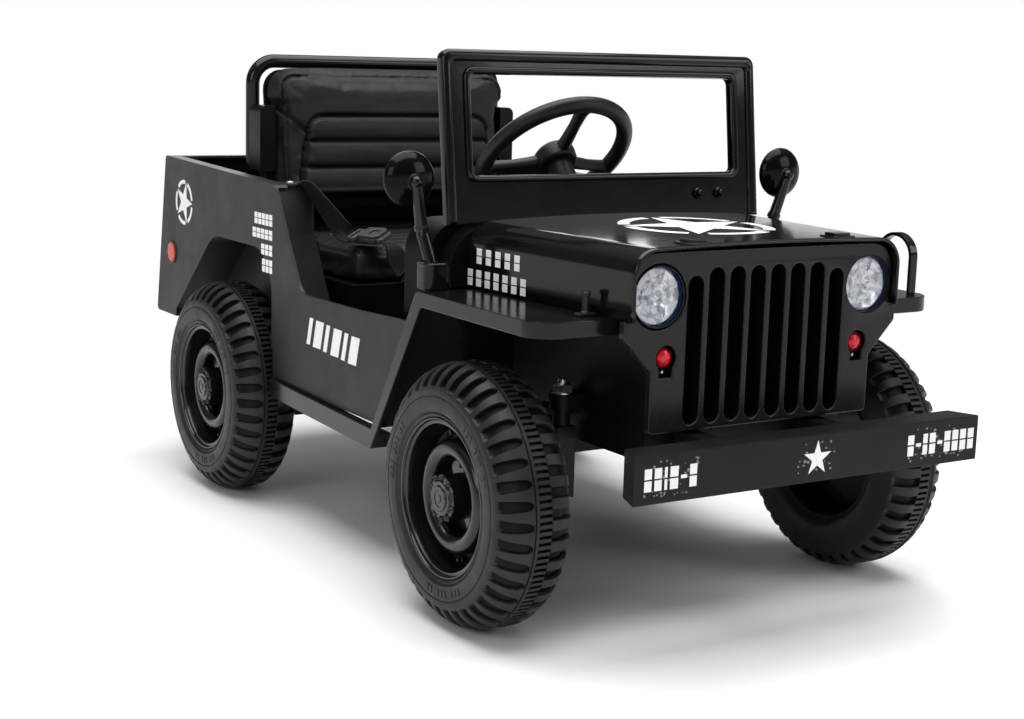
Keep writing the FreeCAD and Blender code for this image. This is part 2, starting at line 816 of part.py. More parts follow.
def make_fender(name, side):
    """A fender plate that runs down behind the wheel and back as a step over its board."""
    piece = Piece(name)
    plate = D.fender_plate
    inner = D.nose_half + D.seat_gap
    lip_wall = D.fender_lip_wall
    low_z = D.fender_top_z - D.fender_lip_drop
    tray_rear = D.fender_join_y + lip_wall
    edge = across(side, D.fender_edge)
    root = across(side, inner)
    tray = [
        (root, D.fender_front_y),
        (edge, D.fender_front_y, D.fender_corner_round),
        (edge, tray_rear),
        (root, tray_rear),
    ]
    piece.pad("XY_Plane", [tray], low_z, D.fender_top_z)
    under_edge = across(side, D.fender_edge - lip_wall)
    under_root = across(side, inner - D.overrun)
    under = [
        (under_root, D.fender_front_y + lip_wall),
        (under_edge, D.fender_front_y + lip_wall, D.fender_corner_round - lip_wall),
        (under_edge, tray_rear + D.overrun),
        (under_root, tray_rear + D.overrun),
    ]
    piece.cut("XY_Plane", [under], low_z - D.overrun, D.fender_top_z - plate)
    outline = [
        (D.fender_join_y, D.fender_top_z),
        (D.fender_bend_y, D.fender_top_z, D.fender_bend_round),
        (D.fender_foot_y, D.fender_foot_z),
        (D.fender_foot_y - plate, D.fender_foot_z),
        (D.fender_bend_y - plate, D.fender_top_z - plate, D.fender_bend_round - plate),
        (D.fender_join_y, D.fender_top_z - plate),
    ]
    low, high = mirrored(side, inner, D.fender_edge)
    piece.pad("YZ_Plane", [outline], low, high)
    lip = [
        (D.fender_join_y, D.fender_top_z),
        (D.fender_bend_y, D.fender_top_z, D.fender_bend_round),
        (D.fender_foot_y, D.fender_foot_z),
        (D.fender_tail_y, D.fender_tail_z),
        (D.fender_tail_y, D.fender_tail_z - D.fender_tail_lip),
        (D.fender_foot_y - D.fender_slope_lip, D.fender_foot_z - D.fender_tail_lip),
        (D.fender_bend_y - D.fender_slope_lip, low_z),
        (D.fender_join_y, low_z),
    ]
    low, high = mirrored(side, D.fender_edge - lip_wall, D.fender_edge)
    piece.pad("YZ_Plane", [lip], low, high)
    board_top = D.fender_tail_z - D.fender_tail_lip
    board = [
        (D.fender_foot_y - D.fender_slope_lip, D.fender_foot_z - D.fender_tail_lip),
        (D.fender_tail_y, board_top),
        (D.fender_tail_y, board_top - D.sill_depth),
        (D.fender_foot_y, D.fender_foot_z - D.fender_tail_lip - D.sill_depth),
    ]
    low, high = mirrored(side, D.sill_inner, D.fender_edge)
    piece.pad("YZ_Plane", [board], low, high)
    return piece


def hood(half, foot, top, turn):
    """A face with round upper corners."""
    return [(-half, foot), (half, foot), (half, top, turn), (-half, top, turn)]


def make_bonnet():
    """The bonnet: a tapered shell with rounded shoulders, open below and round the grille."""
    piece = Piece("bonnet")
    rear = D.screen_foot_y - D.screen_thick - D.seat_gap
    front = D.bonnet_front_y
    foot, top, turn = D.fender_top_z, D.bonnet_top_z, D.bonnet_round
    piece.loft("XZ_Plane", hood(D.bonnet_front_half, foot, top, turn), front,
               hood(D.bonnet_rear_half, foot, top, turn), rear)
    wall = D.bonnet_wall
    low, high, turn = foot - D.overrun, top - wall, turn - wall
    piece.loft("XZ_Plane", hood(D.bonnet_front_half - wall, low, high, turn), front,
               hood(D.bonnet_rear_half - wall, low, high, turn), rear - wall,
               "PartDesign::SubtractiveLoft")
    return piece


def make_grille():
    """The grille plate with its seats for the lamps, and the closed box behind its slots."""
    piece = Piece("grille")
    ear_top = D.fender_top_z - D.seat_gap
    plate = [
        (-D.grille_half_low, D.grille_low_z),
        (D.grille_half_low, D.grille_low_z),
        (D.grille_half_low, D.grille_hip_z),
        (D.grille_half_ear, D.grille_knee_z),
        (D.grille_half_ear, ear_top),
        (D.grille_half_top, ear_top),
        (D.grille_half_top, D.grille_top_z, D.grille_round),
        (-D.grille_half_top, D.grille_top_z, D.grille_round),
        (-D.grille_half_top, ear_top),
        (-D.grille_half_ear, ear_top),
        (-D.grille_half_ear, D.grille_knee_z),
        (-D.grille_half_low, D.grille_hip_z),
    ]
    rear = D.grille_front_y + D.grille_wall
    piece.pad("XZ_Plane", [plate], D.grille_front_y, rear)
    slots = []
    count = int(D.slot_count.worth)
    half = D.slot_width / 2
    for index in range(count):
        x = D.slot_pitch * (index - (count - 1) / 2)
        outer = index in (0, count - 1)
        high = D.slot_high_z - D.slot_outer_drop if outer else D.slot_high_z
        slots.append(block(x - half, x + half, D.slot_low_z, high, half * SLOT_ROUND_SHARE))
    seats = []
    for side in SIDES.values():
        seats.append((across(side, D.headlamp_x), D.headlamp_z, D.headlamp_radius + D.lamp_fit))
        seats.append((across(side, D.marker_x), D.marker_z, D.marker_lens_radius + D.lamp_fit))
    piece.cut("XZ_Plane", seats, D.grille_front_y - D.overrun, rear + D.overrun)
    narrow, wide, step = D.grille_box_half, D.nose_half, D.grille_hip_z
    back = [
        (-wide, D.grille_low_z),
        (wide, D.grille_low_z),
        (wide, step),
        (narrow, step),
        (narrow, D.grille_box_top_z),
        (-narrow, D.grille_box_top_z),
        (-narrow, step),
        (-wide, step),
    ]
    piece.pad("XZ_Plane", [back], rear, rear + D.grille_box_depth)
    piece.cut("XZ_Plane", slots, D.grille_front_y - D.overrun,
              rear + D.grille_box_depth - D.nose_wall)
    return piece


def make_lamps(name, x, z, radius, sink, depth):
    """A pair of round lamps that are sunk in the grille."""
    piece = Piece(name)
    rounds = [(across(side, x), z, radius) for side in SIDES.values()]
    front = D.grille_front_y + sink
    piece.pad("XZ_Plane", rounds, front, front + depth)
    return piece


def make_bumper():
    """The bumper: a channel with mitred ends, open to the rear."""
    piece = Piece("bumper")
    plan = [
        (-D.bumper_half, D.bumper_front_y),
        (D.bumper_half, D.bumper_front_y),
        (D.bumper_half - D.bumper_mitre, D.bumper_front_y + D.bumper_depth),
        (-D.bumper_half + D.bumper_mitre, D.bumper_front_y + D.bumper_depth),
    ]
    piece.pad("XY_Plane", [plan], D.bumper_low_z, D.bumper_high_z)
    wall = D.bumper_wall
    hollow = block(-D.bumper_half + D.bumper_mitre + wall, D.bumper_half - D.bumper_mitre - wall,
                   D.bumper_low_z + wall, D.bumper_high_z - wall)
    piece.cut("XZ_Plane", [hollow], D.bumper_front_y + wall,
              D.bumper_front_y + D.bumper_depth + D.overrun)
    return piece


def make_brackets():
    """The two bumper brackets between the bumper and the nose."""
    piece = Piece("bumper_brackets")
    half = D.bracket_width / 2
    outlines = []
    for side in SIDES.values():
        x = across(side, D.bracket_x)
        outlines.append(block(x - half, x + half, D.bracket_low_z, D.bracket_high_z))
    piece.pad("XZ_Plane", outlines, D.bumper_front_y + D.bumper_wall,
              D.grille_front_y + D.grille_wall + D.grille_box_depth)
    return piece


def make_nose(column_way):
    """The liner under the bonnet: side walls, a floor for the axle and a bulkhead."""
    piece = Piece("nose_shell", False)
    front = D.grille_front_y + D.grille_wall + D.grille_box_depth
    shell = [
        (front, D.nose_floor_z),
        (D.nose_rear_y, D.nose_floor_z),
        (D.nose_rear_y, D.fender_top_z - D.fender_plate),
        (front, D.fender_top_z - D.fender_plate),
    ]
    piece.pad("YZ_Plane", [shell], -D.nose_half, D.nose_half)
    wall = D.nose_wall
    hollow = block(front + wall, D.nose_rear_y - wall,
                   D.nose_floor_z + wall, D.fender_top_z + D.overrun)
    piece.cut("YZ_Plane", [hollow], -D.nose_half + wall, D.nose_half - wall)
    half = D.beam_depth / 2
    beam_way = block(D.front_axle_y - half - D.seat_gap, D.front_axle_y + half + D.seat_gap,
                     D.beam_low_z - D.seat_gap, D.beam_high_z + D.seat_gap)
    piece.cut("YZ_Plane", [beam_way], -D.nose_half - D.overrun, D.nose_half + D.overrun)
    rod_y = D.front_axle_y + D.arm_length
    rod_way = block(rod_y - D.rod_width, rod_y + D.rod_width,
                    D.nose_floor_z + wall, D.arm_low_z + D.arm_thick + D.rod_gap * 2)
    piece.cut("YZ_Plane", [rod_way], -D.nose_half - D.overrun, D.nose_half + D.overrun)
    return drilled("nose", piece.body, column_way)


def make_screen():
    """The windscreen frame with a raised lip, leaning back, with no glass."""
    piece = Piece("windscreen_frame")
    frame = block(-D.screen_half, D.screen_half, ZERO, D.screen_height, D.screen_round)
    piece.pad("XZ_Plane", [frame], -D.screen_thick / 2, D.screen_thick / 2)
    opening = block(-D.screen_half + D.screen_side, D.screen_half - D.screen_side,
                    D.screen_low, D.screen_height - D.screen_top, D.screen_open_round)
    piece.cut("XZ_Plane", [opening], -D.screen_thick, D.screen_thick)
    knobs = []
    for index in range(2):
        x = D.screen_knob_first_x + D.screen_knob_pitch * index
        knobs.append((x, D.screen_knob_height, D.screen_knob_radius))
    piece.pad("XZ_Plane", knobs, -D.screen_thick / 2 - D.screen_knob_rise, ZERO)
    piece.place((ZERO, D.screen_foot_y, D.screen_foot_z), -D.screen_lean, (1, 0, 0))
    return piece


def make_bar():
    """The roll bar behind the seat: one bent tube."""
    feature = doc.addObject("Part::Feature", "roll_bar")
    feature.Label = "roll_bar"
    half, low, high = D.bar_half.worth, D.well_roof_z.worth + D.tub_floor_wall.worth, D.bar_top_z.worth
    bend, y = D.bar_bend.worth, D.bar_y.worth
    path = rounded_wire([(-half, y, low), (-half, y, high), (half, y, high), (half, y, low)], bend)
    feature.Shape = tube(path, D.bar_radius.worth)
    feature.Placement = FreeCAD.Placement()
    nodes.append(feature)
    return feature


def rounded_wire(points, radius):
    """A wire of straight runs joined by tangent arcs of one radius."""
    corners = [FreeCAD.Vector(*point) for point in points]
    edges = []
    start = corners[0]
    for index in range(1, len(corners) - 1):
        here = corners[index]
        back = (corners[index - 1] - here).normalize()
        on = (corners[index + 1] - here).normalize()
        half = back.getAngle(on) / 2
        reach = radius / math.tan(half)
        middle = (back + on).normalize()
        centre = here + middle * (radius / math.sin(half))
        begin, finish = here + back * reach, here + on * reach
        edges.append(Part.LineSegment(start, begin).toShape())
        edges.append(Part.Arc(begin, centre - middle * radius, finish).toShape())
        start = finish
    edges.append(Part.LineSegment(start, corners[-1]).toShape())
    return Part.Wire(edges)


def tube(path, radius):
    """A round bar along a wire."""
    first = path.Edges[0]
    start = first.valueAt(first.FirstParameter)
    along = first.tangentAt(first.FirstParameter)
    ring = Part.Wire([Part.Circle(start, along, radius).toShape()])
    return path.makePipeShell([ring], True, True)


def shaped(label, shape):
    """A sub-part whose shape is worked out here from the sheet's sizes."""
    feature = doc.addObject("Part::Feature", label)
    feature.Label = label
    feature.Shape = shape
    feature.Placement = FreeCAD.Placement()
    nodes.append(feature)
    return feature


def make_seat():
    """The seat: a plastic back shell and base pan, and their two cushions."""
    shell = Piece("seat_shell")
    wall = D.seat_shell_wall
    back = [
        (D.seat_back_low_y, D.bed_floor_z),
        (D.seat_back_low_y + wall, D.bed_floor_z),
        (D.seat_back_low_y + wall, D.seat_back_low_z),
        (D.seat_back_top_y + wall - D.seat_gap, D.seat_top_z - wall),
        (D.seat_back_top_y, D.seat_top_z - wall),
        (D.seat_back_low_y, D.seat_back_low_z),
    ]
    shell.pad("YZ_Plane", [back], -D.seat_half, D.seat_half)
    floor_z = D.tub_floor_z + D.tub_floor_wall
    step_y = D.tub_arch_front_y - D.tub_wall * 3 - D.seat_gap
    pan = [
        (D.seat_front_y, floor_z),
        (step_y, floor_z),
        (step_y, D.bed_floor_z),
        (D.seat_back_low_y + wall / 2, D.bed_floor_z),
        (D.seat_back_low_y + wall / 2, D.seat_base_high_z),
        (D.seat_front_y, D.seat_base_high_z),
    ]
    shell.pad("YZ_Plane", [pan], -D.seat_base_half, D.seat_base_half)
    hollow = block(D.seat_front_y + wall, D.seat_back_low_y - wall,
                   floor_z - D.overrun, D.seat_base_high_z - wall)
    shell.cut("YZ_Plane", [hollow], -D.seat_base_half + wall, D.seat_base_half - wall)
    ears = []
    for side in SIDES.values():
        low, high = mirrored(side, D.seat_half - D.seat_pad_inset + D.seat_gap,
                             D.bar_half + D.bar_radius)
        ears.append(block(low, high, D.seat_ear_front_y, D.bar_y - D.bar_radius - D.seat_gap))
    shell.pad("XY_Plane", ears, D.seat_ear_low_z, D.seat_ear_high_z)

    cushion = Piece("back_cushion")
    inset = D.seat_pad_inset
    gap = D.seat_gap
    section = [
        (D.seat_back_low_y - gap, D.seat_base_high_z + D.seat_pad_thick + gap * 2),
        (D.seat_back_low_y - gap, D.seat_back_low_z),
        (D.seat_back_top_y - gap, D.seat_top_z),
        (D.seat_back_top_y - D.seat_back_pad, D.seat_top_z),
        (D.seat_back_low_y - D.seat_back_pad, D.seat_base_high_z + D.seat_pad_thick + gap * 2),
    ]
    cushion.pad("YZ_Plane", [section], -D.seat_half + inset, D.seat_half - inset)

    base = Piece("seat_cushion")
    section = block(D.seat_front_y, D.seat_back_low_y - gap,
                    D.seat_base_high_z + gap, D.seat_base_high_z + gap + D.seat_pad_thick)
    base.pad("YZ_Plane", [section], -D.seat_base_half + inset, D.seat_base_half - inset)


def strap_run(start, end, way):
    """A straight run of webbing between two points, flat along a direction."""
    along = end - start
    length = along.Length
    along.normalize()
    flat = way - along * way.dot(along)
    flat.normalize()
    width, thick = D.belt_width.worth, D.belt_thick.worth
    corner = FreeCAD.Vector(-thick / 2, -width / 2, -thick / 2)
    run = Part.makeBox(length + thick, width, thick, corner)
    turn = FreeCAD.Rotation(along, flat, along.cross(flat), "XYZ")
    run.Placement = FreeCAD.Placement(start, turn)
    return run


def make_belt():
    """The seat belt that lies over the seat's front edge, and its buckle."""
    halves = []
    for side in SIDES.values():
        stops = []
        for stop in BELT_STOPS:
            x, y, z = [getattr(D, "belt_" + stop + "_" + letter).worth for letter in "xyz"]
            stops.append(FreeCAD.Vector(side * x, y, z))
        stops.append(FreeCAD.Vector(0, stops[-1].y, stops[-1].z))
        for start, end, way in zip(stops, stops[1:], BELT_WIDTH_WAYS):
            halves.append(strap_run(start, end, FreeCAD.Vector(side * way[0], way[1], way[2])))
    shaped("seat_belt", halves[0].fuse(halves[1:]).removeSplitter())
    buckle = Piece("belt_buckle")
    outline = block(-D.buckle_length / 2, D.buckle_length / 2,
                    -D.buckle_width / 2, D.buckle_width / 2, D.belt_thick * 2)
    buckle.pad("XY_Plane", [outline], ZERO, D.buckle_thick)
    buckle.place((-D.buckle_x, D.buckle_y, D.buckle_z), -D.buckle_turn)


def make_mirror(name, side):
    """A round mirror on its bent stalk, with the boss on the fender."""
    x, y, z = D.mirror_x.worth, D.mirror_y.worth, D.mirror_z.worth
    radius, rim, dome = D.mirror_radius.worth, D.mirror_rim.worth, D.mirror_dome.worth
    ahead = FreeCAD.Vector(0, -1, 0)
    disc = Part.makeCylinder(radius, rim, FreeCAD.Vector(x, y, z), ahead)
    cap_radius = (radius * radius + dome * dome) / (2 * dome)
    ball = Part.makeSphere(cap_radius, FreeCAD.Vector(x, y - rim - dome + cap_radius, z))
    keep = Part.makeCylinder(radius, dome, FreeCAD.Vector(x, y - rim, z), ahead)
    head = disc.fuse(ball.common(keep))
    foot_x, foot_y, foot_z = D.mirror_base_x.worth, D.mirror_base_y.worth, D.fender_top_z.worth
    boss_top = foot_z + D.mirror_boss_height.worth
    back = y - rim - dome
    knee = (D.mirror_knee_x.worth, D.mirror_knee_y.worth, D.mirror_knee_z.worth)
    path = rounded_wire([(foot_x, foot_y, boss_top - rim), knee,
                         (x, back, z), (x, y - rim, z)], rim)
    stalk = tube(path, D.mirror_stalk_radius.worth)
    half = D.mirror_boss_width.worth / 2
    boss = Part.makeBox(2 * half, 2 * half, D.mirror_boss_height.worth,
                        FreeCAD.Vector(foot_x - half, foot_y - half, foot_z))
    whole = head.fuse([stalk, boss]).removeSplitter()
    if side == RIGHT:
        whole = whole.mirror(FreeCAD.Vector(0, 0, 0), FreeCAD.Vector(1, 0, 0))
    return shaped(name, whole)


def make_fittings():
    """Bonnet latches, fender pins, the brush guard and the side reflectors."""
    latches = Piece("bonnet_latches")
    half = D.latch_width / 2
    outlines = []
    for side in SIDES.values():
        x = across(side, D.latch_x)
        outlines.append(block(x - half, x + half, D.latch_y - D.latch_length / 2,
                              D.latch_y + D.latch_length / 2))
    latches.pad("XY_Plane", outlines, D.bonnet_top_z, D.bonnet_top_z + D.latch_rise)

    pins = Piece("fender_pins")
    foot = D.pin_foot_width / 2
    feet = []
    shanks = []
    heads = []
    for side in SIDES.values():
        x = across(side, D.pin_x)
        feet.append(block(x - foot, x + foot, D.pin_y - foot / 2, D.pin_y + foot / 2))
        shanks.append((x, D.pin_y, D.pin_radius))
        heads.append((x, D.pin_y, D.pin_head_radius))
    top = D.fender_top_z + D.pin_height
    pins.pad("XY_Plane", feet, D.fender_top_z, D.fender_top_z + D.pin_foot_height)
    pins.pad("XY_Plane", shanks, D.fender_top_z, top)
    pins.pad("XY_Plane", heads, top - D.pin_head_radius, top)

    hoop = Piece("brush_guard")
    outer = D.hoop_half
    inner = D.hoop_half - D.hoop_thick
    high = D.fender_top_z + D.hoop_height
    arch = [
        (D.hoop_y - outer, D.fender_top_z),
        (D.hoop_y - inner, D.fender_top_z),
        (D.hoop_y - inner, high - D.hoop_thick, inner * SLOT_ROUND_SHARE),
        (D.hoop_y + inner, high - D.hoop_thick, inner * SLOT_ROUND_SHARE),
        (D.hoop_y + inner, D.fender_top_z),
        (D.hoop_y + outer, D.fender_top_z),
        (D.hoop_y + outer, high, outer * SLOT_ROUND_SHARE),
        (D.hoop_y - outer, high, outer * SLOT_ROUND_SHARE),
    ]
    hoop.pad("YZ_Plane", [arch], D.hoop_x - D.hoop_width / 2, D.hoop_x + D.hoop_width / 2)

    reflectors = Piece("reflectors")
    for side in SIDES.values():
        low, high = mirrored(side, D.tub_half, D.tub_half + D.reflector_rise)
        reflectors.pad("YZ_Plane", [(D.reflector_y, D.reflector_z, D.reflector_radius)], low, high)


def make_tail_lamps():
    """The two tail lamps on the leaning rear panel."""
    rise_y = D.tub_rear_low_y.worth - D.tub_rear_top_y.worth
    rise_z = D.tub_rear_top_z.worth - D.tub_rear_low_z.worth
    out = FreeCAD.Vector(0, rise_z, rise_y).normalize()
    share = (D.tail_lamp_z.worth - D.tub_rear_low_z.worth) / rise_z
    y = D.tub_rear_low_y.worth - rise_y * share
    lamps = []
    for side in SIDES.values():
        place = FreeCAD.Vector(side * D.tail_lamp_x.worth, y, D.tail_lamp_z.worth)
        lamps.append(Part.makeCylinder(D.tail_lamp_radius.worth, D.tail_lamp_rise.worth,
                                       place, out))
    shaped("tail_lamps", Part.makeCompound(lamps))


def make_dashboard(column_way):
    """The dashboard under the windscreen, with its buttons."""
    piece = Piece("dashboard_panel", False)
    panel = block(-D.dash_half, D.dash_half, D.dash_low_z, D.dash_top_z, D.dash_round)
    piece.pad("XZ_Plane", [panel], D.cowl_rear_y, D.dash_face_y)
    buttons = []
    for index in range(DASH_BUTTON_COUNT):
        x = -D.dash_half / 2 + D.dash_button_pitch * (index - (DASH_BUTTON_COUNT - 1) / 2)
        buttons.append((x, (D.dash_low_z + D.dash_top_z) / 2, D.dash_button_radius))
    piece.pad("XZ_Plane", buttons, D.dash_face_y, D.dash_face_y + D.dash_button_rise)
    return drilled("dashboard", piece.body, column_way)


def steering_frame():
    """The steering column's head, its direction down the shaft and the crank's direction."""
    lean = math.radians(D.steer_lean.worth)
    head = FreeCAD.Vector(0, D.steer_wheel_y.worth, D.steer_wheel_z.worth)
    down = FreeCAD.Vector(0, -math.cos(lean), -math.sin(lean))
    crank = FreeCAD.Vector(0, math.sin(lean), -math.cos(lean))
    return head, down, crank


def make_steering():
    """The steering wheel, and its shaft with the crank that moves the tie rod."""
    head, down, crank = steering_frame()
    ring = Part.makeTorus(D.steer_wheel_radius.worth, D.steer_rim_radius.worth, head, down)
    hub_height = D.steer_hub_height.worth
    hub = Part.makeCylinder(D.steer_hub_radius.worth, hub_height, head - down * (hub_height / 2), down)
    spokes = []
    across_axis = FreeCAD.Vector(1, 0, 0)
    for turn in SPOKE_TURNS:
        spin = FreeCAD.Rotation(down, turn)
        way = spin.multVec(-crank)
        spokes.append(Part.makeCylinder(D.steer_spoke_radius.worth, D.steer_wheel_radius.worth,
                                        head, way))
    wheel = ring.fuse([hub] + spokes).removeSplitter()
    shaft_radius = D.steer_shaft_radius.worth
    length = D.steer_shaft_length.worth
    start = head + down * (hub_height / 2)
    shaft = Part.makeCylinder(shaft_radius, length, start, down)
    tip = start + down * length
    reach = D.steer_crank.worth
    thick = D.steer_crank_thick.worth
    plate = Part.makeBox(2 * shaft_radius, reach + shaft_radius, thick,
                         FreeCAD.Vector(-shaft_radius, 0, -thick))
    lean = FreeCAD.Rotation(across_axis, D.steer_lean.worth - RIGHT_ANGLE)
    plate.Placement = FreeCAD.Placement(tip, lean)
    pin = Part.makeCylinder(D.steer_pin_radius.worth, D.steer_pin_length.worth,
                            tip + crank * reach, down)
    shaped("steering_wheel", wheel)
    shaped("steering_shaft", shaft.fuse([plate, pin]).removeSplitter())
    sleeve_start = start + down * D.column_head_gap.worth
    sleeve = Part.makeCylinder(D.column_radius.worth, D.column_length.worth, sleeve_start, down)
    bore = Part.makeCylinder(shaft_radius + D.axle_fit.worth, D.column_length.worth,
                             sleeve_start, down)
    shaped("steering_column", sleeve.cut(bore))


def make_front_axle():
    """The axle beam with its posts, the knuckles and the tie rod."""
    beam = Piece("front_axle")
    half = D.beam_depth / 2
    reach = D.kingpin_x + half
    y = D.front_axle_y
    beam.pad("XY_Plane", [block(-reach, reach, y - half, y + half, half * SLOT_ROUND_SHARE)],
             D.beam_low_z, D.beam_high_z)
    posts = []
    wide = D.beam_post_width / 2
    for side in SIDES.values():
        x = across(side, D.beam_post_x)
        posts.append(block(x - wide, x + wide, y - half, y + half))
    beam.pad("XY_Plane", posts, D.nose_floor_z + D.nose_wall, D.beam_low_z)
    holes = [(across(side, D.kingpin_x), y, D.kingpin_radius + D.axle_fit)
             for side in SIDES.values()]
    beam.cut("XY_Plane", holes, D.beam_low_z - D.overrun, D.beam_high_z + D.overrun)
    return beam


def make_knuckle(name, side):
    """A knuckle: kingpin with its nut, stub axle block and slotted steering arm."""
    piece = Piece(name)
    x, y = across(side, D.kingpin_x), D.front_axle_y
    piece.pad("XY_Plane", [(x, y, D.kingpin_radius)], D.kingpin_low_z, D.kingpin_top_z)
    wide = D.knuckle_block / 2
    piece.pad("XY_Plane", [block(x - wide, x + wide, y - wide, y + wide)],
              D.kingpin_low_z, D.knuckle_block_high_z)
    collar = D.kingpin_radius + D.rod_gap * 2
    piece.pad("XY_Plane", [(x, y, collar)], D.knuckle_block_high_z, D.beam_low_z - D.seat_gap)
    piece.pad("XY_Plane", [(x, y, D.nut_radius)], D.beam_high_z + D.seat_gap,
              D.beam_high_z + D.seat_gap + D.nut_height)
    arm_half = D.arm_width / 2
    tail = y + D.arm_length + D.arm_slot_length
    piece.pad("XY_Plane", [block(x - arm_half, x + arm_half, y, tail)],
              D.arm_low_z, D.arm_low_z + D.arm_thick)
    slot_half = D.rod_pin_radius + D.arm_slot_slack
    slot_y = y + D.arm_length
    piece.cut("XY_Plane", [block(x - slot_half, x + slot_half,
                                 slot_y - slot_half, slot_y + slot_half + D.rod_gap * 2)],
              D.arm_low_z - D.rod_gap, D.arm_low_z + D.arm_thick + D.rod_gap)
    stub_low, stub_high = mirrored(side, D.kingpin_x, D.tyre_face_x - D.axle_end_inset)
    piece.pad("YZ_Plane", [(y, D.wheel_radius, D.axle_radius)], stub_low, stub_high)
    return piece


def make_tie_rod():
    """The tie rod: a bar with a pin at each end and a fork in the middle."""
    piece = Piece("tie_rod")
    y = D.front_axle_y + D.arm_length
    half = D.rod_width / 2
    reach = D.kingpin_x + half
    high = D.arm_low_z - D.rod_gap
    low = high - D.rod_thick
    piece.pad("XY_Plane", [block(-reach, reach, y - half, y + half, half / 2)], low, high)
    pins = [(across(side, D.kingpin_x), y, D.rod_pin_radius) for side in SIDES.values()]
    piece.pad("XY_Plane", pins, low, D.arm_low_z + D.arm_thick + D.rod_gap)
    posts = []
    inner = D.steer_pin_radius + D.fork_gap
    for side in SIDES.values():
        low_x, high_x = mirrored(side, inner, inner + D.fork_post_width)
        posts.append(block(low_x, high_x, y - D.fork_front, y + D.fork_length))
    piece.pad("XY_Plane", posts, low, high + D.fork_height)
    return piece


def make_rear_axle():
    """The rear axle rod and the two gearboxes with their motors."""
    axle = Piece("rear_axle")
    reach = D.tyre_face_x - D.axle_end_inset
    axle.pad("YZ_Plane", [(D.rear_axle_y, D.wheel_radius, D.axle_radius)], -reach, reach)
    for name, side in SIDES.items():
        box = Piece("gearbox_" + name)
        low, high = mirrored(side, D.gearbox_inner, D.gearbox_outer)
        front = D.rear_axle_y - D.gearbox_length / 2
        outline = block(front, D.rear_axle_y + D.gearbox_length / 2, D.gearbox_low_z,
                        D.bed_floor_z - D.tub_floor_wall, D.dash_round)
        box.pad("YZ_Plane", [outline], low, high)
        box.cut("YZ_Plane", [(D.rear_axle_y, D.wheel_radius, D.axle_radius + D.axle_fit)], low, high)


def make_chassis():
    """The belly tray under the floor, with the rear mast for the gearboxes."""
    piece = Piece("chassis")
    low, high = D.chassis_low_z, D.tub_floor_z
    wall = D.chassis_wall
    tail_y = D.rear_axle_y - D.gearbox_length / 2 - wall
    tray = block(-D.chassis_half, D.chassis_half, D.chassis_front_y, tail_y, D.dash_round)
    piece.pad("XY_Plane", [tray], low, high)
    hollow = block(-D.chassis_half + wall, D.chassis_half - wall,
                   D.chassis_front_y + wall, tail_y - wall, D.dash_round - wall)
    piece.cut("XY_Plane", [hollow], low + wall, high + D.overrun)
    half = D.chassis_half - D.dash_round
    riser = block(-half, half, D.nose_rear_y - D.overrun, D.chassis_front_y + wall)
    piece.pad("XY_Plane", [riser], low, D.nose_floor_z)
    return piece


def make_battery():
    """The battery block under the seat."""
    piece = Piece("battery")
    half = D.battery_width / 2
    low = D.tub_floor_z + D.tub_floor_wall
    front = D.seat_front_y + D.seat_shell_wall * 2
    piece.pad("XY_Plane", [block(-half, half, front, front + D.battery_length)],
              low, low + D.battery_height)
    return piece


def make_controls():
    """The pedal in the foot well and the shift lever beside the seat."""
    pedal = Piece("pedal")
    half = D.pedal_width / 2
    pedal.pad("XY_Plane", [block(-half, half, ZERO, D.pedal_length, D.pedal_thick)],
              ZERO, D.pedal_thick)
    pedal.place((-D.pedal_x, D.pedal_y + D.pedal_length / 2, D.tub_floor_z + D.tub_floor_wall),
                D.pedal_lean, (1, 0, 0))
    lever = Piece("shift_lever")
    low = D.tub_floor_z + D.tub_floor_wall
    lever.pad("XY_Plane", [(D.lever_x, D.lever_y, D.lever_radius)], low, low + D.lever_height)
    lever.pad("XY_Plane", [(D.lever_x, D.lever_y, D.lever_knob_radius)],
              low + D.lever_height - D.lever_knob_radius, low + D.lever_height)
    lever.pad("XY_Plane", [(D.lever_x, D.lever_y, D.lever_knob_radius)],
              low, low + D.lever_radius)


AXLES = {"front": D.front_axle_y, "rear": D.rear_axle_y}

column_way = make_column_way()
make_tub()
make_cowl(column_way)
for side_name, side_sign in SIDES.items():
    make_fender("fender_" + side_name, side_sign)
make_bonnet()
make_grille()
make_lamps("headlamps", D.headlamp_x, D.headlamp_z, D.headlamp_radius,
           D.headlamp_sink, D.headlamp_depth)
make_lamps("marker_lamps", D.marker_x, D.marker_z, D.marker_lens_radius,
           D.marker_sink, D.marker_depth)
make_bumper()
make_brackets()
make_nose(column_way)
make_screen()
make_bar()
make_seat()
make_belt()
for side_name, side_sign in SIDES.items():
    make_mirror("mirror_" + side_name, side_sign)
make_fittings()
make_tail_lamps()
make_dashboard(column_way)
make_steering()
make_front_axle()
for side_name, side_sign in SIDES.items():
    make_knuckle("knuckle_" + side_name, side_sign)
make_tie_rod()
make_rear_axle()
make_chassis()
make_battery()
make_controls()
for axle_name, axle_place in AXLES.items():
    for side_name, side_sign in SIDES.items():
        make_tyre("tyre_" + axle_name + "_" + side_name, side_sign, axle_place)
        make_rim("rim_" + axle_name + "_" + side_name, side_sign, axle_place)

doc.recompute()
for item in doc.Objects:
    if "Invalid" in item.State or "Error" in item.State:
        raise RuntimeError(item.Name + " is " + str(item.State))
    if item.TypeId in ("PartDesign::Pocket", "PartDesign::Groove"):
        if item.Shape.Volume >= item.BaseFeature.Shape.Volume:
            raise RuntimeError(item.Name + " cuts nothing")
os.makedirs("parts", exist_ok=True)
for node in nodes:
    if node.Shape.isNull() or not node.Shape.isValid():
        raise RuntimeError(node.Label + " has no valid shape")
for node in nodes:
    node.Shape.exportStep("parts/" + node.Label + ".step")
print(len(nodes), "nodes")
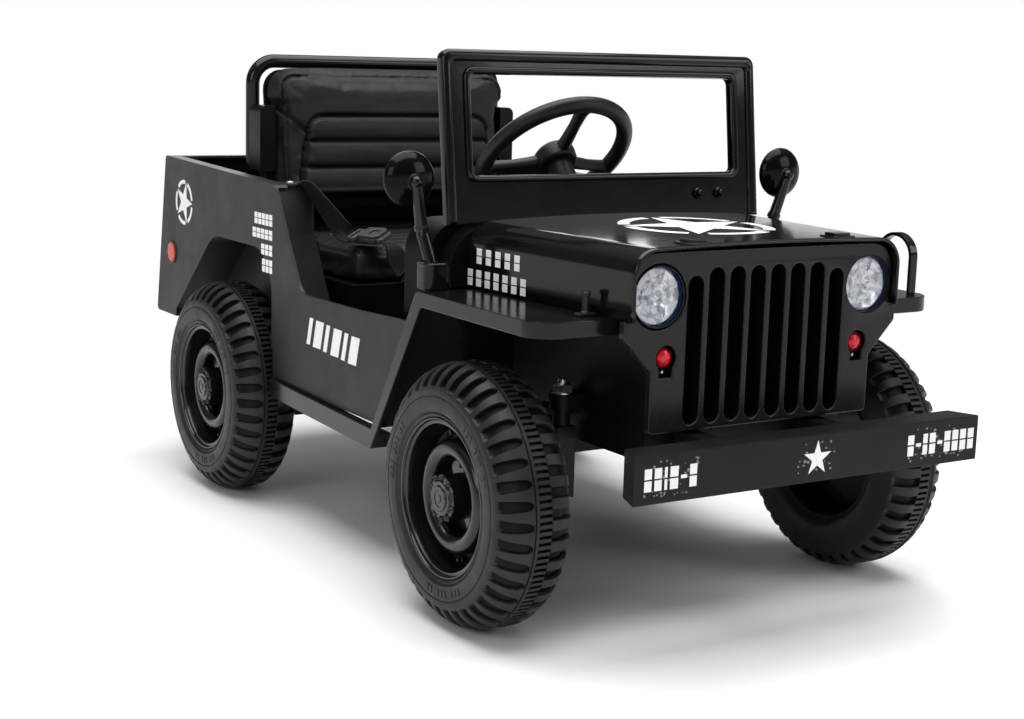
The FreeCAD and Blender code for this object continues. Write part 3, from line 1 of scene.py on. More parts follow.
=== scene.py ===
import random
from math import atan2, cos, degrees, exp, hypot, pi, radians, sin, sqrt, tan

import bpy
import bmesh
from mathutils import Matrix, Vector, noise


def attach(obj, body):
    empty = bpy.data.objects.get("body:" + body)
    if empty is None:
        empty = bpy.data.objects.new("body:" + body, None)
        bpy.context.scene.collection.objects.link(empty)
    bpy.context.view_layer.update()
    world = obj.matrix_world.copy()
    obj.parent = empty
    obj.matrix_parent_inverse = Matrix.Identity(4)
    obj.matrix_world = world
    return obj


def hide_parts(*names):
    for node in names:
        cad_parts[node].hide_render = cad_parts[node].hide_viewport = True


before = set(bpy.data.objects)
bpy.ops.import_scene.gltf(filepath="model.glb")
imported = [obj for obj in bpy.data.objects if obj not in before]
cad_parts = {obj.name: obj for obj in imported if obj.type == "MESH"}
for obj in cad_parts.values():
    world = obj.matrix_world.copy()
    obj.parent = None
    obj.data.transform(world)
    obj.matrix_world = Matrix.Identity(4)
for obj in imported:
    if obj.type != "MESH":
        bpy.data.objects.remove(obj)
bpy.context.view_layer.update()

# Lengths in this script are in millimetres until SCALE turns them into metres
SCALE = 0.001
SIDES = {"right": -1, "left": 1}
CAR = "car_body"
# Places (x, z) on the grille, and the faces that carry markings
LAMP, MARKER = (131.4, 343.5), (120.8, 284.6)
SIDE_FACE, BUMPER_FACE, MARK_PROUD = 245, -547.5, 0.25
SHARP_ANGLE = radians(32)


# Materials

SPECULAR = "Specular IOR Level"
COAT, COAT_ROUGH = "Coat Weight", "Coat Roughness"


def grey(value):
    """A colour of four numbers, from a grey level or a colour of three."""
    return (value, value, value, 1) if isinstance(value, (int, float)) else tuple(value) + (1,)


class Surface:
    """A node material: textures in object coordinates feed one principled shader."""

    def __init__(self, name):
        self.material = bpy.data.materials.new(name)
        self.material.use_nodes = True
        self.tree = self.material.node_tree
        self.tree.nodes.clear()
        self.output = self.node("OutputMaterial")
        self.shader = self.node("BsdfPrincipled")
        self.link(self.shader.outputs["BSDF"], self.output.inputs["Surface"])
        self.vector = self.stretched((1, 1, 1))
        self.normal = None

    def node(self, kind, **settings):
        made = self.tree.nodes.new("ShaderNode" + kind)
        for name, value in settings.items():
            setattr(made, name, value)
        return made

    def link(self, source, socket):
        self.tree.links.new(source, socket)

    def stretched(self, scale):
        """Object coordinates, stretched by a scale for each axis."""
        mapping = self.node("Mapping")
        mapping.inputs["Scale"].default_value = scale
        self.link(self.node("TexCoord").outputs["Object"], mapping.inputs["Vector"])
        return mapping.outputs["Vector"]

    def texture(self, kind, vector=None, **values):
        made = self.node("Tex" + kind)
        for name, value in values.items():
            made.inputs[name].default_value = value
        self.link(vector or self.vector, made.inputs["Vector"])
        return made

    def noise(self, scale, detail=3, roughness=0.55, vector=None):
        return self.texture("Noise", vector, Scale=scale, Detail=detail, Roughness=roughness).outputs["Fac"]

    def ramp(self, factor, low, high, first, last):
        """Maps a factor between two stops to two colours or grey levels."""
        made = self.node("ValToRGB")
        for stop, place, value in zip(made.color_ramp.elements, (low, high), (first, last)):
            stop.position = place
            stop.color = grey(value)
        self.link(factor, made.inputs["Fac"])
        return made.outputs["Color"]

    def vary(self, socket, factor, low, high, first, last):
        self.link(self.ramp(factor, low, high, first, last), self.shader.inputs[socket])

    def bump(self, height, strength, distance):
        """Adds relief on top of the relief that is there."""
        made = self.node("Bump")
        made.inputs["Strength"].default_value = strength
        made.inputs["Distance"].default_value = distance
        self.link(height, made.inputs["Height"])
        if self.normal:
            self.link(self.normal, made.inputs["Normal"])
        self.normal = made.outputs["Normal"]
        self.link(self.normal, self.shader.inputs["Normal"])

    def done(self, values=()):
        """Sets bare constants on the shader's own sockets."""
        for name, value in dict(values).items():
            self.shader.inputs[name].default_value = value
        return self.material


def plastic(name, dark, light, rough_low, rough_high, grain=900, grain_strength=0.1,
            wave=14, wave_strength=0.05, specular=0.4):
    """Moulded plastic: faint colour drift, uneven gloss, fine grain and slow surface waves."""
    skin = Surface(name)
    skin.vary("Base Color", skin.noise(9, 4), 0.35, 0.65, dark, light)
    skin.vary("Roughness", skin.noise(26, 5, 0.65), 0.3, 0.72, rough_low, rough_high)
    skin.bump(skin.noise(wave, 1), wave_strength, 0.002)
    skin.bump(skin.noise(grain, 2), grain_strength, 0.0004)
    return skin.done({SPECULAR: specular})


def tyre_material(name, shade, specular):
    """Hard foamed tyre: satin, slightly brown, dusty in patches."""
    skin = Surface(name)
    low, high = ([shade * part for part in colour] for colour in ((1, 0.93, 0.9), (1.9, 1.76, 1.7)))
    skin.vary("Base Color", skin.noise(22, 6, 0.6), 0.3, 0.75, low, high)
    skin.vary("Roughness", skin.noise(60, 4), 0.3, 0.7, 0.4, 0.56)
    skin.bump(skin.noise(190, 4), 0.18, 0.0012)
    skin.bump(skin.noise(1500, 2), 0.2, 0.0003)
    return skin.done({SPECULAR: specular})


def leather_material():
    """Faux leather: pebbled grain with soft creases."""
    skin = Surface("seat_leather")
    skin.vary("Base Color", skin.noise(12, 5), 0.3, 0.7, (0.0052, 0.0052, 0.0072),
              (0.0088, 0.0088, 0.0122))
    skin.vary("Roughness", skin.noise(34, 4), 0.3, 0.7, 0.46, 0.6)
    skin.bump(skin.noise(30, 5, 0.6, skin.stretched((0.6, 1, 2.2))), 0.22, 0.004)
    cells = skin.texture("Voronoi", Scale=620)
    cells.feature = "DISTANCE_TO_EDGE"
    skin.bump(skin.ramp(cells.outputs["Distance"], 0, 0.12, 0, 1), 0.25, 0.0005)
    return skin.done({SPECULAR: 0.26})


def web_material():
    """Woven belt webbing: two sets of small ribs that cross."""
    skin = Surface("belt_web")
    weave = skin.node("Math", operation="MULTIPLY")
    for number, direction in enumerate("XZ"):
        wave = skin.texture("Wave", Scale=260, Distortion=0.6)
        wave.bands_direction = direction
        skin.link(wave.outputs["Fac"], weave.inputs[number])
    woven = weave.outputs[0]
    skin.vary("Base Color", woven, 0.1, 0.9, (0.004, 0.004, 0.0046), (0.017, 0.017, 0.0186))
    skin.vary("Roughness", skin.noise(90), 0.3, 0.7, 0.62, 0.85)
    skin.bump(woven, 0.5, 0.0006)
    return skin.done({"Sheen Weight": 0.05, SPECULAR: 0.25})


def metal(name, colour_low, colour_high, rough_low, rough_high, scratch=0.12):
    """Plated or bare metal with fine scratches and uneven gloss."""
    skin = Surface(name)
    skin.vary("Base Color", skin.noise(40, 5), 0.3, 0.7, colour_low, colour_high)
    skin.vary("Roughness", skin.noise(120, 4), 0.3, 0.7, rough_low, rough_high)
    skin.bump(skin.noise(260, vector=skin.stretched((1, 1, 14))), scratch, 0.0004)
    return skin.done({"Metallic": 1})


def lens(name, low, high, rough=0.06, facets=260, strength=0.4, glow=0):
    """A coloured clear lens with small moulded facets."""
    skin = Surface(name)
    skin.vary("Base Color", skin.noise(60), 0.35, 0.65, low, high)
    skin.vary("Roughness", skin.noise(200), 0.3, 0.7, rough, rough * 2.2)
    skin.bump(skin.texture("Voronoi", Scale=facets).outputs["Distance"], strength, 0.001)
    if glow:
        skin.done({"Emission Color": grey(high), "Emission Strength": glow})
    return skin.done({COAT: 0.2, COAT_ROUGH: 0.05})


def facet_material():
    """The lamps' inner lens over a silvered bowl; its bright, pale, facet-by-facet colour is a painted
    reflection of the bowl.
    """
    skin = Surface("lamp_facets_painted_glare")
    skin.vary("Roughness", skin.noise(160), 0.3, 0.7, 0.06, 0.2)
    cells = skin.texture("Voronoi", Scale=170)
    # Painted reflection: each cell gets its own pale-to-white colour, standing in for the facets' glints
    skin.vary("Base Color", cells.outputs["Color"], 0.25, 0.5, (0.5, 0.53, 0.6), (1, 1, 1))
    skin.bump(cells.outputs["Distance"], 0.3, 0.001)
    return skin.done({"Metallic": 0.15, COAT: 0.5, COAT_ROUGH: 0.04})


def glass_material():
    """Clear lamp cover with faint flutes and a little dust."""
    skin = Surface("lamp_glass")
    skin.vary("Base Color", skin.noise(50), 0.3, 0.8, (0.9, 0.93, 0.97), (1, 1, 1))
    skin.vary("Roughness", skin.noise(70), 0.35, 0.8, 0.01, 0.06)
    skin.bump(skin.texture("Voronoi", Scale=150).outputs["Distance"], 0.25, 0.0015)
    return skin.done({"Transmission Weight": 1, "IOR": 1.25})


def decal_material(name, light, wear_low, wear_high):
    """Printed marking that is rubbed through in specks."""
    skin = Surface(name)
    worn = skin.ramp(skin.noise(420, 6, 0.75), wear_low, wear_high, 0, 1)
    mix = skin.node("Mix", data_type="RGBA")
    mix.inputs["A"].default_value = grey(0.02)
    mix.inputs["B"].default_value = grey(light)
    skin.link(worn, mix.inputs["Factor"])
    skin.link(mix.outputs["Result"], skin.shader.inputs["Base Color"])
    skin.vary("Roughness", skin.noise(30), 0.3, 0.7, 0.25, 0.4)
    skin.bump(worn, 0.1, 0.0002)
    return skin.done()


# Each row: name, dark and light colour, roughness from and to, then grain and its strength, waves
# and their strength, and specular level where they differ from the usual
PLASTICS = {
    "tub": ("tub_plastic", (0.011, 0.011, 0.0113), (0.0155, 0.0155, 0.0158), 0.38, 0.5, 1300, 0.14, 10,
            0.05, 0.22),
    "gloss": ("gloss_black", (0.003, 0.003, 0.0034), (0.005, 0.005, 0.0054), 0.09, 0.15, 500, 0.01, 16,
              0.05, 0.3),
    "fender": ("fender_plastic", (0.0045, 0.0045, 0.0048), (0.007, 0.007, 0.0073), 0.13, 0.22, 900, 0.03,
               12, 0.05, 0.32),
    "grille": ("grille_plastic", (0.0076, 0.0076, 0.008), (0.0102, 0.0102, 0.0107), 0.22, 0.32, 900,
               0.06, 12, 0.04, 0.28),
    "black": ("black_plastic", (0.0038, 0.0038, 0.0041), (0.0064, 0.0064, 0.0067), 0.38, 0.55, 1100, 0.2,
              12, 0.05, 0.2),
    # Painted shade: a near-black that stands in for the shadow inside the grille's slots, the lamps'
    # recesses and under the backrest's panel
    "deep_shadow": ("shadow_plastic", (0.0008, 0.0008, 0.0009), (0.0016, 0.0016, 0.0017), 0.6, 0.75, 1100, 0.1,
             12, 0.02, 0.06),
    "rim": ("rim_plastic", (0.0042, 0.004, 0.0039), (0.0066, 0.0063, 0.006), 0.14, 0.22, 700, 0.03, 18,
            0.05, 0.42),
    "wheel_grip": ("grip_plastic", (0.006, 0.006, 0.0065), (0.01, 0.01, 0.0105), 0.34, 0.46, 1500, 0.3,
                   14, 0.04, 0.3),
    "dark_metal": ("painted_metal", (0.007, 0.007, 0.0075), (0.012, 0.012, 0.013), 0.28, 0.42, 800, 0.12,
                   20, 0.05, 0.35),
    # Partly real, partly painted highlight: the piping along the backrest's lowest seam, coloured lighter
    # for the light on its fold
    "thread": ("seam_thread", (0.016, 0.016, 0.02), (0.026, 0.026, 0.03), 0.42, 0.55),
    "bezel": ("bezel_blue", (0.003, 0.014, 0.08), (0.006, 0.03, 0.15), 0.2, 0.28),
    "olive": ("olive_ring", (0.022, 0.024, 0.01), (0.04, 0.042, 0.018), 0.4, 0.5),
    "cowl": ("cowl_plastic", (0.0026, 0.0026, 0.0029), (0.0042, 0.0042, 0.0045), 0.4, 0.52, 900, 0.04,
             12, 0.05, 0.05),
    "shell": ("shell_plastic", (0.0026, 0.0026, 0.0033), (0.0042, 0.0042, 0.005), 0.3, 0.42, 900, 0.05,
              12, 0.05, 0.12),
    "matt_shell": ("mirror_shell", (0.0018, 0.0018, 0.0021), (0.003, 0.003, 0.0034), 0.1, 0.17, 900,
                   0.02, 14, 0.05, 0.12),
    "buckle": ("buckle_plastic", (0.028, 0.028, 0.03), (0.042, 0.042, 0.045), 0.34, 0.46),
    # Painted shade: a darker, rougher copy of the black plastic for parts in shadow: the rim's wells, the
    # nose, the front axle, the knuckles and the headlamps' lips
    "well": ("rim_well", (0.0016, 0.0015, 0.0015), (0.003, 0.0028, 0.0027), 0.4, 0.52, 700, 0.04, 18,
             0.05, 0.2),
    "bolt": ("bolt_black", (0.006, 0.006, 0.0066), (0.011, 0.011, 0.0116), 0.3, 0.42),
}
MATERIALS = {key: plastic(*row) for key, row in PLASTICS.items()}
MATERIALS.update({
    "tyre": tyre_material("tyre", 0.0085, 0.34),
    # Painted shade: the same tyre stuff, darker, for the shadow deep in the tread's pockets and valleys
    "tread_shade": tyre_material("tyre_painted_shade", 0.0028, 0.14),
    "leather": leather_material(),
    "web": web_material(),
    "steel": metal("zinc_steel", (0.5, 0.55, 0.6), (0.72, 0.77, 0.82), 0.2, 0.34),
    "facet": facet_material(),
    "mirror": metal("mirror_glass", (0.82, 0.84, 0.86), (0.88, 0.9, 0.92), 0.01, 0.03, 0),
    "glass": glass_material(),
    "red": lens("red_lens", (0.42, 0, 0.008), (0.66, 0, 0.014), 0.12, 420, 0.35, 0.1),
    "reflector": lens("reflector_red", (0.55, 0.012, 0.008), (0.78, 0.03, 0.015), 0.22, 700, 0.3),
    "decal": decal_material("decal_white", (0.86, 0.87, 0.89), 0.2, 0.3),
    "speck": decal_material("decal_worn", (0.36, 0.37, 0.38), 0.42, 0.6),
})


# Mesh building

def shift(x, y, z):
    return Matrix.Translation((x, y, z))


def turned(degrees, axis):
    return Matrix.Rotation(radians(degrees), 4, axis)


def flip(sign):
    """Mirrors across the car's middle when the sign is negative."""
    return Matrix.Diagonal((sign, 1, 1, 1))


def rounded(corners, steps=5):
    """Points of an outline whose corners (a, b, radius) are rounded."""
    points = []
    count = len(corners)
    for index, corner in enumerate(corners):
        here = Vector(corner[:2])
        if len(corner) < 3 or corner[2] <= 0:
            points.append((here.x, here.y))
            continue
        back = (Vector(corners[index - 1][:2]) - here).normalized()
        on = (Vector(corners[(index + 1) % count][:2]) - here).normalized()
        half = back.angle(on) / 2
        reach = corner[2] / tan(half)
        centre = here + (back + on).normalized() * (corner[2] / sin(half))
        start, finish = here + back * reach - centre, here + on * reach - centre
        turn = start.angle_signed(finish)
        for step in range(steps + 1):
            spot = centre + Matrix.Rotation(-turn * step / steps, 2) @ start
            points.append((spot.x, spot.y))
    return points


def ring_points(x, y, radius, steps=32):
    turns = [2 * pi * step / steps for step in range(steps)]
    return [(x + radius * cos(turn), y + radius * sin(turn)) for turn in turns]


def box_points(low_a, high_a, low_b, high_b, radius=0, steps=5):
    return rounded([(low_a, low_b, radius), (high_a, low_b, radius), (high_a, high_b, radius),
                    (low_a, high_b, radius)], steps)


def both_halves(corners):
    """An outline that is the same on both sides of b = 0, from the corners of its lower half."""
    return rounded(corners + [(a, -b, *radius) for a, b, *radius in reversed(corners)])


def placed(loops, a, b):
    return [[(x + a, y + b) for x, y in loop] for loop in loops]


def slot_points(a, low, high, half, steps=8):
    """A slot with round ends, upright in the plane."""
    return rounded([(a - half, low, half * 0.99), (a + half, low, half * 0.99),
                    (a + half, high, half * 0.99), (a - half, high, half * 0.99)], steps)


PLANES = {
    "xy": Matrix(((1, 0, 0, 0), (0, 1, 0, 0), (0, 0, 1, 0), (0, 0, 0, 1))),
    "xz": Matrix(((1, 0, 0, 0), (0, 0, -1, 0), (0, 1, 0, 0), (0, 0, 0, 1))),
    "yz": Matrix(((0, 0, 1, 0), (1, 0, 0, 0), (0, 1, 0, 0), (0, 0, 0, 1))),
}


def plate(loops, plane, low, high, soft=0, steps=2):
    """A flat plate with holes and softened edges, between two places along the plane's normal."""
    curve = bpy.data.curves.new("plate", "CURVE")
    curve.dimensions = "2D"
    curve.fill_mode = "BOTH"
    curve.extrude = (high - low) / 2 - soft
    curve.bevel_depth = soft
    curve.bevel_resolution = steps
    curve.offset = -soft
    for loop in loops:
        spline = curve.splines.new("POLY")
        spline.points.add(len(loop) - 1)
        for point, (a, b) in zip(spline.points, loop):
            point.co = (a, b, 0, 1)
        spline.use_cyclic_u = True
    holder = bpy.data.objects.new("plate", curve)
    mesh = bpy.data.meshes.new_from_object(holder)
    bpy.data.objects.remove(holder)
    bpy.data.curves.remove(curve)
    middle = (low + high) / 2
    mesh.transform(shift(*(0 if axis in plane else middle for axis in "xyz")) @ PLANES[plane])
    return mesh


def from_data(verts, faces):
    mesh = bpy.data.meshes.new("made")
    mesh.from_pydata([tuple(vert) for vert in verts], [], faces)
    return mesh


def grid_faces(rows, count, ring=False, loop=False):
    """Faces between rows of points; a ring joins the last row to the first, a loop each row's ends."""
    faces = []
    for row in range(rows if ring else rows - 1):
        here, there = row * count, (row + 1) % rows * count
        for index in range(count if loop else count - 1):
            onward = (index + 1) % count
            faces.append((here + index, here + onward, there + onward, there + index))
    return faces


def end_faces(rows, count):
    return [tuple(reversed(range(count))), tuple(range((rows - 1) * count, rows * count))]


def from_shape(shape, name="made"):
    mesh = bpy.data.meshes.new(name)
    shape.to_mesh(mesh)
    shape.free()
    return mesh


def soften(shape, edges, size, steps, profile):
    bmesh.ops.bevel(shape, geom=edges, offset=size, segments=steps, profile=profile, affect="EDGES",
                    clamp_overlap=True)


def lathe(profile, steps=48, axis="x"):
    """Turns a profile of (along, radius) round an axis through the origin."""
    verts = []
    for step in range(steps):
        turn = 2 * pi * step / steps
        for along, radius in profile:
            spot = (along, radius * cos(turn), radius * sin(turn))
            start = -"xyz".index(axis) % 3
            verts.append(spot[start:] + spot[:start])
    return from_data(verts, grid_faces(steps, len(profile), ring=True))


def block(low, high, soft=1, steps=2):
    """A box with softened edges."""
    shape = bmesh.new()
    bmesh.ops.create_cube(shape, size=1)
    for vert in shape.verts:
        vert.co = Vector([(a + b) / 2 + v * (b - a) for a, b, v in zip(low, high, vert.co)])
    soften(shape, shape.edges[:], soft, steps, 0.6)
    return from_shape(shape)


def tube(path, radius, sides=12, closed=False, radii=None):
    """A round bar along a path, with its own radius at each point if given."""
    spots = [Vector(point) for point in path]
    count = len(spots)
    verts, normal = [], None
    for index, spot in enumerate(spots):
        if closed:
            along = (spots[(index + 1) % count] - spots[index - 1]).normalized()
        else:
            along = (spots[min(index + 1, count - 1)] - spots[max(index - 1, 0)]).normalized()
        normal = normal or along.orthogonal().normalized()
        normal = (normal - along * normal.dot(along)).normalized()
        binormal = along.cross(normal)
        size = radii[index] if radii else radius
        for side in range(sides):
            turn = 2 * pi * side / sides
            verts.append(spot + (normal * cos(turn) + binormal * sin(turn)) * size)
    faces = grid_faces(count, sides, closed, True)
    return from_data(verts, faces if closed else faces + end_faces(count, sides))


def dome(centre, radius, rise, outward, rings=6, steps=28):
    """A shallow cap over a circle."""
    way = Vector(outward).normalized()
    first = way.orthogonal().normalized()
    second = way.cross(first)
    centre = Vector(centre)
    verts = []
    for ring in range(rings):
        share = 1 - ring / rings
        height = rise * sqrt(max(0, 1 - share * share))
        for step in range(steps):
            turn = 2 * pi * step / steps
            spoke = first * cos(turn) + second * sin(turn)
            verts.append(centre + spoke * radius * share + way * height)
    faces = grid_faces(rings, steps, loop=True)
    last, top = (rings - 1) * steps, len(verts)
    verts.append(centre + way * rise)
    faces += [(last + step, last + (step + 1) % steps, top) for step in range(steps)]
    return from_data(verts, faces)


class Build:
    """Collects meshes in millimetres and turns them into one piece."""

    def __init__(self):
        self.shape = bmesh.new()
        self.materials = []

    def add(self, mesh, material, matrix=None):
        """Adds a mesh with one material, or with several in the order of its material numbers."""
        if matrix is not None:
            mesh.transform(matrix)
            if matrix.determinant() < 0:
                mesh.flip_normals()
        first = len(self.shape.faces)
        self.shape.from_mesh(mesh)
        bpy.data.meshes.remove(mesh)
        keys = [material] if isinstance(material, str) else list(material)
        for key in keys:
            if key not in self.materials:
                self.materials.append(key)
        numbers = [self.materials.index(key) for key in keys]
        self.shape.faces.ensure_lookup_table()
        for face in self.shape.faces[first:]:
            face.material_index = numbers[min(face.material_index, len(numbers) - 1)]
        return self

    def piece(self, name, body=CAR, slot="black_plastic", stands_for=(), weld=True, sharp=SHARP_ANGLE,
              outward=True):
        """Makes the object, which rides on a body and may stand for CAD nodes."""
        if weld:
            bmesh.ops.remove_doubles(self.shape, verts=self.shape.verts[:], dist=0.001)
        if outward:
            bmesh.ops.recalc_face_normals(self.shape, faces=self.shape.faces[:])
        mesh = from_shape(self.shape, name)
        mesh.transform(Matrix.Scale(SCALE, 4))
        for key in self.materials:
            mesh.materials.append(MATERIALS[key])
        thing = add_object(name, mesh, body, stands_for, sharp)
        if weld:
            even_shading(thing)
        return thing


def link(thing):
    bpy.context.scene.collection.objects.link(thing)
    return thing


def add_object(name, mesh, body, stands_for=(), sharp=SHARP_ANGLE):
    mesh.polygons.foreach_set("use_smooth", [True] * len(mesh.polygons))
    mesh.set_sharp_from_angle(angle=sharp)
    thing = link(bpy.data.objects.new(name, mesh))
    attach(thing, body)
    if stands_for:
        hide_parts(*stands_for)
    return thing


def even_shading(thing):
    """Keeps flat faces flat beside their soft edges."""
    weights = thing.modifiers.new("even_shading", "WEIGHTED_NORMAL")
    weights.keep_sharp = True


def dressed(node, material, soft, body=CAR, slot="black_plastic", steps=2, corners=()):
    """A copy of a CAD node with softened edges, which stands for it.

    Corners are (lowest x, lowest z, radius) of upright corners, seen from the front, to round first.
    """
    shape = bmesh.new()
    shape.from_mesh(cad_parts[node].data)
    bmesh.ops.remove_doubles(shape, verts=shape.verts[:], dist=1e-6)
    bmesh.ops.dissolve_limit(shape, angle_limit=radians(0.8), verts=shape.verts[:],
                             edges=shape.edges[:])
    for low_x, low_z, radius in corners:
        picked = []
        for edge in shape.edges:
            a, b = (vert.co / SCALE for vert in edge.verts)
            if min(abs(a.x), abs(b.x)) > low_x and min(a.z, b.z) > low_z and abs(a.x - b.x) < 0.5 \
                    and abs(a.y - b.y) > 2 and edge.calc_face_angle(0) > 1:
                picked.append(edge)
        soften(shape, picked, radius * SCALE, 7, 0.5)
    edges = [edge for edge in shape.edges
             if edge.is_manifold and edge.calc_face_angle(0) > radians(28)]
    soften(shape, edges, soft * SCALE, steps, 0.6)
    mesh = from_shape(shape, node + "_shape")
    mesh.materials.clear()
    mesh.materials.append(MATERIALS[material])
    mesh.polygons.foreach_set("material_index", [0] * len(mesh.polygons))
    even_shading(add_object(node + "_shape", mesh, body, (node,)))


def finish_node(node, material):
    """Gives a CAD node that stays a finished material."""
    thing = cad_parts[node]
    if not thing.material_slots:
        thing.data.materials.append(None)
    for slot in thing.material_slots:
        slot.material = MATERIALS[material]


# Wheels

# Where the axles are along Y and a wheel's middle is along X
AXLES, WHEEL_MIDDLE = {"front": -321.7, "rear": 290.6}, 246
WHEEL_RADIUS, TYRE_HALF = 133, 40
# The outer shoulder's radius with its centre across, then the inner shoulder's
SHOULDER_ROUND, MIDDLE, INNER_ROUND = 38, 2, 24
# Front of the rim's round ring
RING_FRONT = 27
# Blocks round the tyre; faces cut deeper than this are the pockets' floors and get painted shade, a darker
# tyre colour
LUGS, SHADE_DEPTH = 40, 2.1
# The pockets' start, their round end's start and their end, as angles round the outer shoulder
POCKET_START, POCKET_ROUND, POCKET_END = 22, 68, 77
# From this angle the inner side has ribs, out to an edge; up to it, blocks
RIB_START, RIB_EDGE, RIBS_PER_LUG = 66, 10, 3
# Half a block as a share of the pitch
BLOCK_HALF = 0.25
# Sections across one pitch, and the width of a wall's soft edge as a share of the pitch
LINES = 17
EDGE = 0.016


def step_between(value, low, high):
    share = min(1, max(0, (value - low) / (high - low)))
    return share * share * (3 - 2 * share)


def tyre_section():
    """The tyre's line as (across, radius, zone, angle, way), with its outer side at +40."""
    outer_wall = ((33, 80), (35.4, 80.6), (36.8, 82.2), (37.3, 83.4), (36.4, 84.4), (37, 85.2),
                  (38.6, 86.4), (39.1, 89), (39.3, 94), (39.2, 99), (38.9, 100.2), (37.9, 100.9),
                  (37.9, 101.5), (38.8, 102.2), (38.6, 104.5))
    inner_wall = ((-38.8, 104), (-39.3, 99), (-39.3, 90), (-37, 84), (-33, 80))
    outer = (19, 21.5, 23, 25, 28, 32, 38, 45, 52, 59, 65, 69, 71, 73, 74.6, 75.8, 76.6, 77.6,
             78.8, 79.8, 80.6, 81.4, 82.4, 83.6, 84.8, 87)
    inner = (90, 83, 76, 71, 68, 66.4, 65, 62, 57, 53, 49, 45, 41, 37, 33, 29, 25, 22, 20)
    points = [(across, radius, "wall", 0, 0) for across, radius in outer_wall]
    for zone, angles, side in (("outer", outer, 1), ("inner", inner, -1)):
        for angle in angles:
            across, radius, way = on_tread(angle, side)
            points.append((across, radius, zone, angle, way))
    return points + [(across, radius, "wall", 0, 0) for across, radius in inner_wall]


def tyre_mesh():
    """A tyre round the X axis with its outer side at +X, in millimetres."""
    section = tyre_section()
    stops = []
    for across, radius, zone, angle, way in section:
        if zone == "outer" and POCKET_START <= angle < POCKET_END:
            stops.append(wall_stops(pocket_half(angle)))
        elif zone == "inner":
            stops.append(rib_stops() if angle > RIB_START else wall_stops(BLOCK_HALF))
        else:
            stops.append([-0.5 + step / LINES for step in range(LINES)])
    verts, depths = [], []
    for lug in range(LUGS):
        for line in range(LINES):
            for places, (across, radius, zone, angle, way) in zip(stops, section):
                phase = places[line]
                deep = 0
                if zone != "wall":
                    deep = tread_depth(zone, angle, phase)
                    turn = radians(way)
                    across -= (1 if zone == "outer" else -1) * cos(turn) * deep
                    radius -= sin(turn) * deep
                turn = 2 * pi * (lug + phase) / LUGS
                verts.append((across, radius * cos(turn), radius * sin(turn)))
                depths.append(deep)
    mesh = from_data(verts, grid_faces(LUGS * LINES, len(section), ring=True))
    # Deep faces take the second material: painted shade, darker for the shadow in the tread
    for polygon in mesh.polygons:
        if sum(depths[vert] for vert in polygon.vertices) / 4 > SHADE_DEPTH:
            polygon.material_index = 1
    return mesh


def on_tread(angle, side):
    """A place on the tread: (across, radius, way), where way is the turn of its outward direction.

    The outer side is one round shoulder; the inner side is flat out to a tighter one.
    """
    turn = radians(angle)
    if side > 0:
        return (MIDDLE + SHOULDER_ROUND * cos(turn),
                WHEEL_RADIUS - SHOULDER_ROUND + SHOULDER_ROUND * sin(turn), angle)
    if angle > RIB_START:
        return MIDDLE - (MIDDLE + RIB_EDGE) * (90 - angle) / (90 - RIB_START), WHEEL_RADIUS, 90
    flat = TYRE_HALF - INNER_ROUND - RIB_EDGE
    run = (RIB_START - angle) / (RIB_START - 20) * (flat + INNER_ROUND * radians(70))
    if run < flat:
        return -RIB_EDGE - run, WHEEL_RADIUS, 90
    way = 90 - degrees((run - flat) / INNER_ROUND)
    return (INNER_ROUND - TYRE_HALF - INNER_ROUND * cos(radians(way)),
            WHEEL_RADIUS - INNER_ROUND + INNER_ROUND * sin(radians(way)), way)


def pocket_half(angle):
    """Half the width of a pocket as a share of the pitch; it closes in a round end at the seam."""
    half = 0.325 - 0.115 * (angle - POCKET_START) / 50
    if angle > POCKET_ROUND:
        gap = min(1, (angle - POCKET_ROUND) / (POCKET_END - POCKET_ROUND))
        half *= sqrt(1 - gap * gap)
    return half


def wall_stops(half):
    """Places across one pitch that follow the two walls of a pocket, from -0.5 to 0.5."""
    land = 0.5 - half - EDGE * 2
    low = [-0.5, -0.5 + land / 3, -0.5 + land * 2 / 3, -half - EDGE * 2, -half - EDGE * 0.7,
           -half + EDGE * 0.5, -half + EDGE * 1.6]
    middle = [-half * 0.5, -half * 0.17, half * 0.17, half * 0.5]
    return low + middle + [-value for value in reversed(low[1:])]


def rib_stops():
    """Places across one pitch that follow three small ribs."""
    marks = (0, 0.13, 0.24, 0.5, 0.76, 0.87)
    places = [-0.5 + (rib + mark) / RIBS_PER_LUG for rib in range(RIBS_PER_LUG) for mark in marks]
    return places[:-1]


def tread_depth(zone, angle, phase):
    """How deep the tread is cut at a place; phase runs from -0.5 to 0.5 across one pitch."""
    if zone == "outer":
        if not POCKET_START <= angle < POCKET_END:
            return 1.6 if 79.5 < angle < 81 else 1.3 if angle > 82 else 0
        half = pocket_half(angle)
        deep = 4.6 * step_between(angle, 21, 31) * (1.1 - 0.25 * (phase / 0.3 + 0.5))
        return deep * (1 - step_between(abs(phase), half - EDGE * 1.6, half + EDGE * 1.6))
    if angle > RIB_START:
        side = abs((phase * RIBS_PER_LUG + 0.5) % 1 - 0.5)
        near = step_between(angle, 66.4, 68)
        return 1.3 + 3.2 * step_between(side, 0.24, 0.37) * (1 if near > 0.5 else near)
    side = step_between(abs(phase), BLOCK_HALF - EDGE, BLOCK_HALF + EDGE * 2)
    return 5.6 * side * step_between(angle, 20.5, 31)


def sidewall_marks():
    """Raised plain marks between the bead and the shoulder, in place of lettering."""
    marks = Build()
    for start in (0, 120, 240):
        for index in (0, 1, 2, 4, 5, 6, 8, 9):
            low = start + index * 4.2
            loop = [(radius * cos(radians(angle)), radius * sin(radians(angle)))
                    for angle, radius in ((low, 90), (low + 2.6, 90), (low + 2.6, 97), (low, 97))]
            marks.add(plate([loop], "yz", 38.6, 39.9, 0.3, 1), "tyre")
    return from_shape(marks.shape)


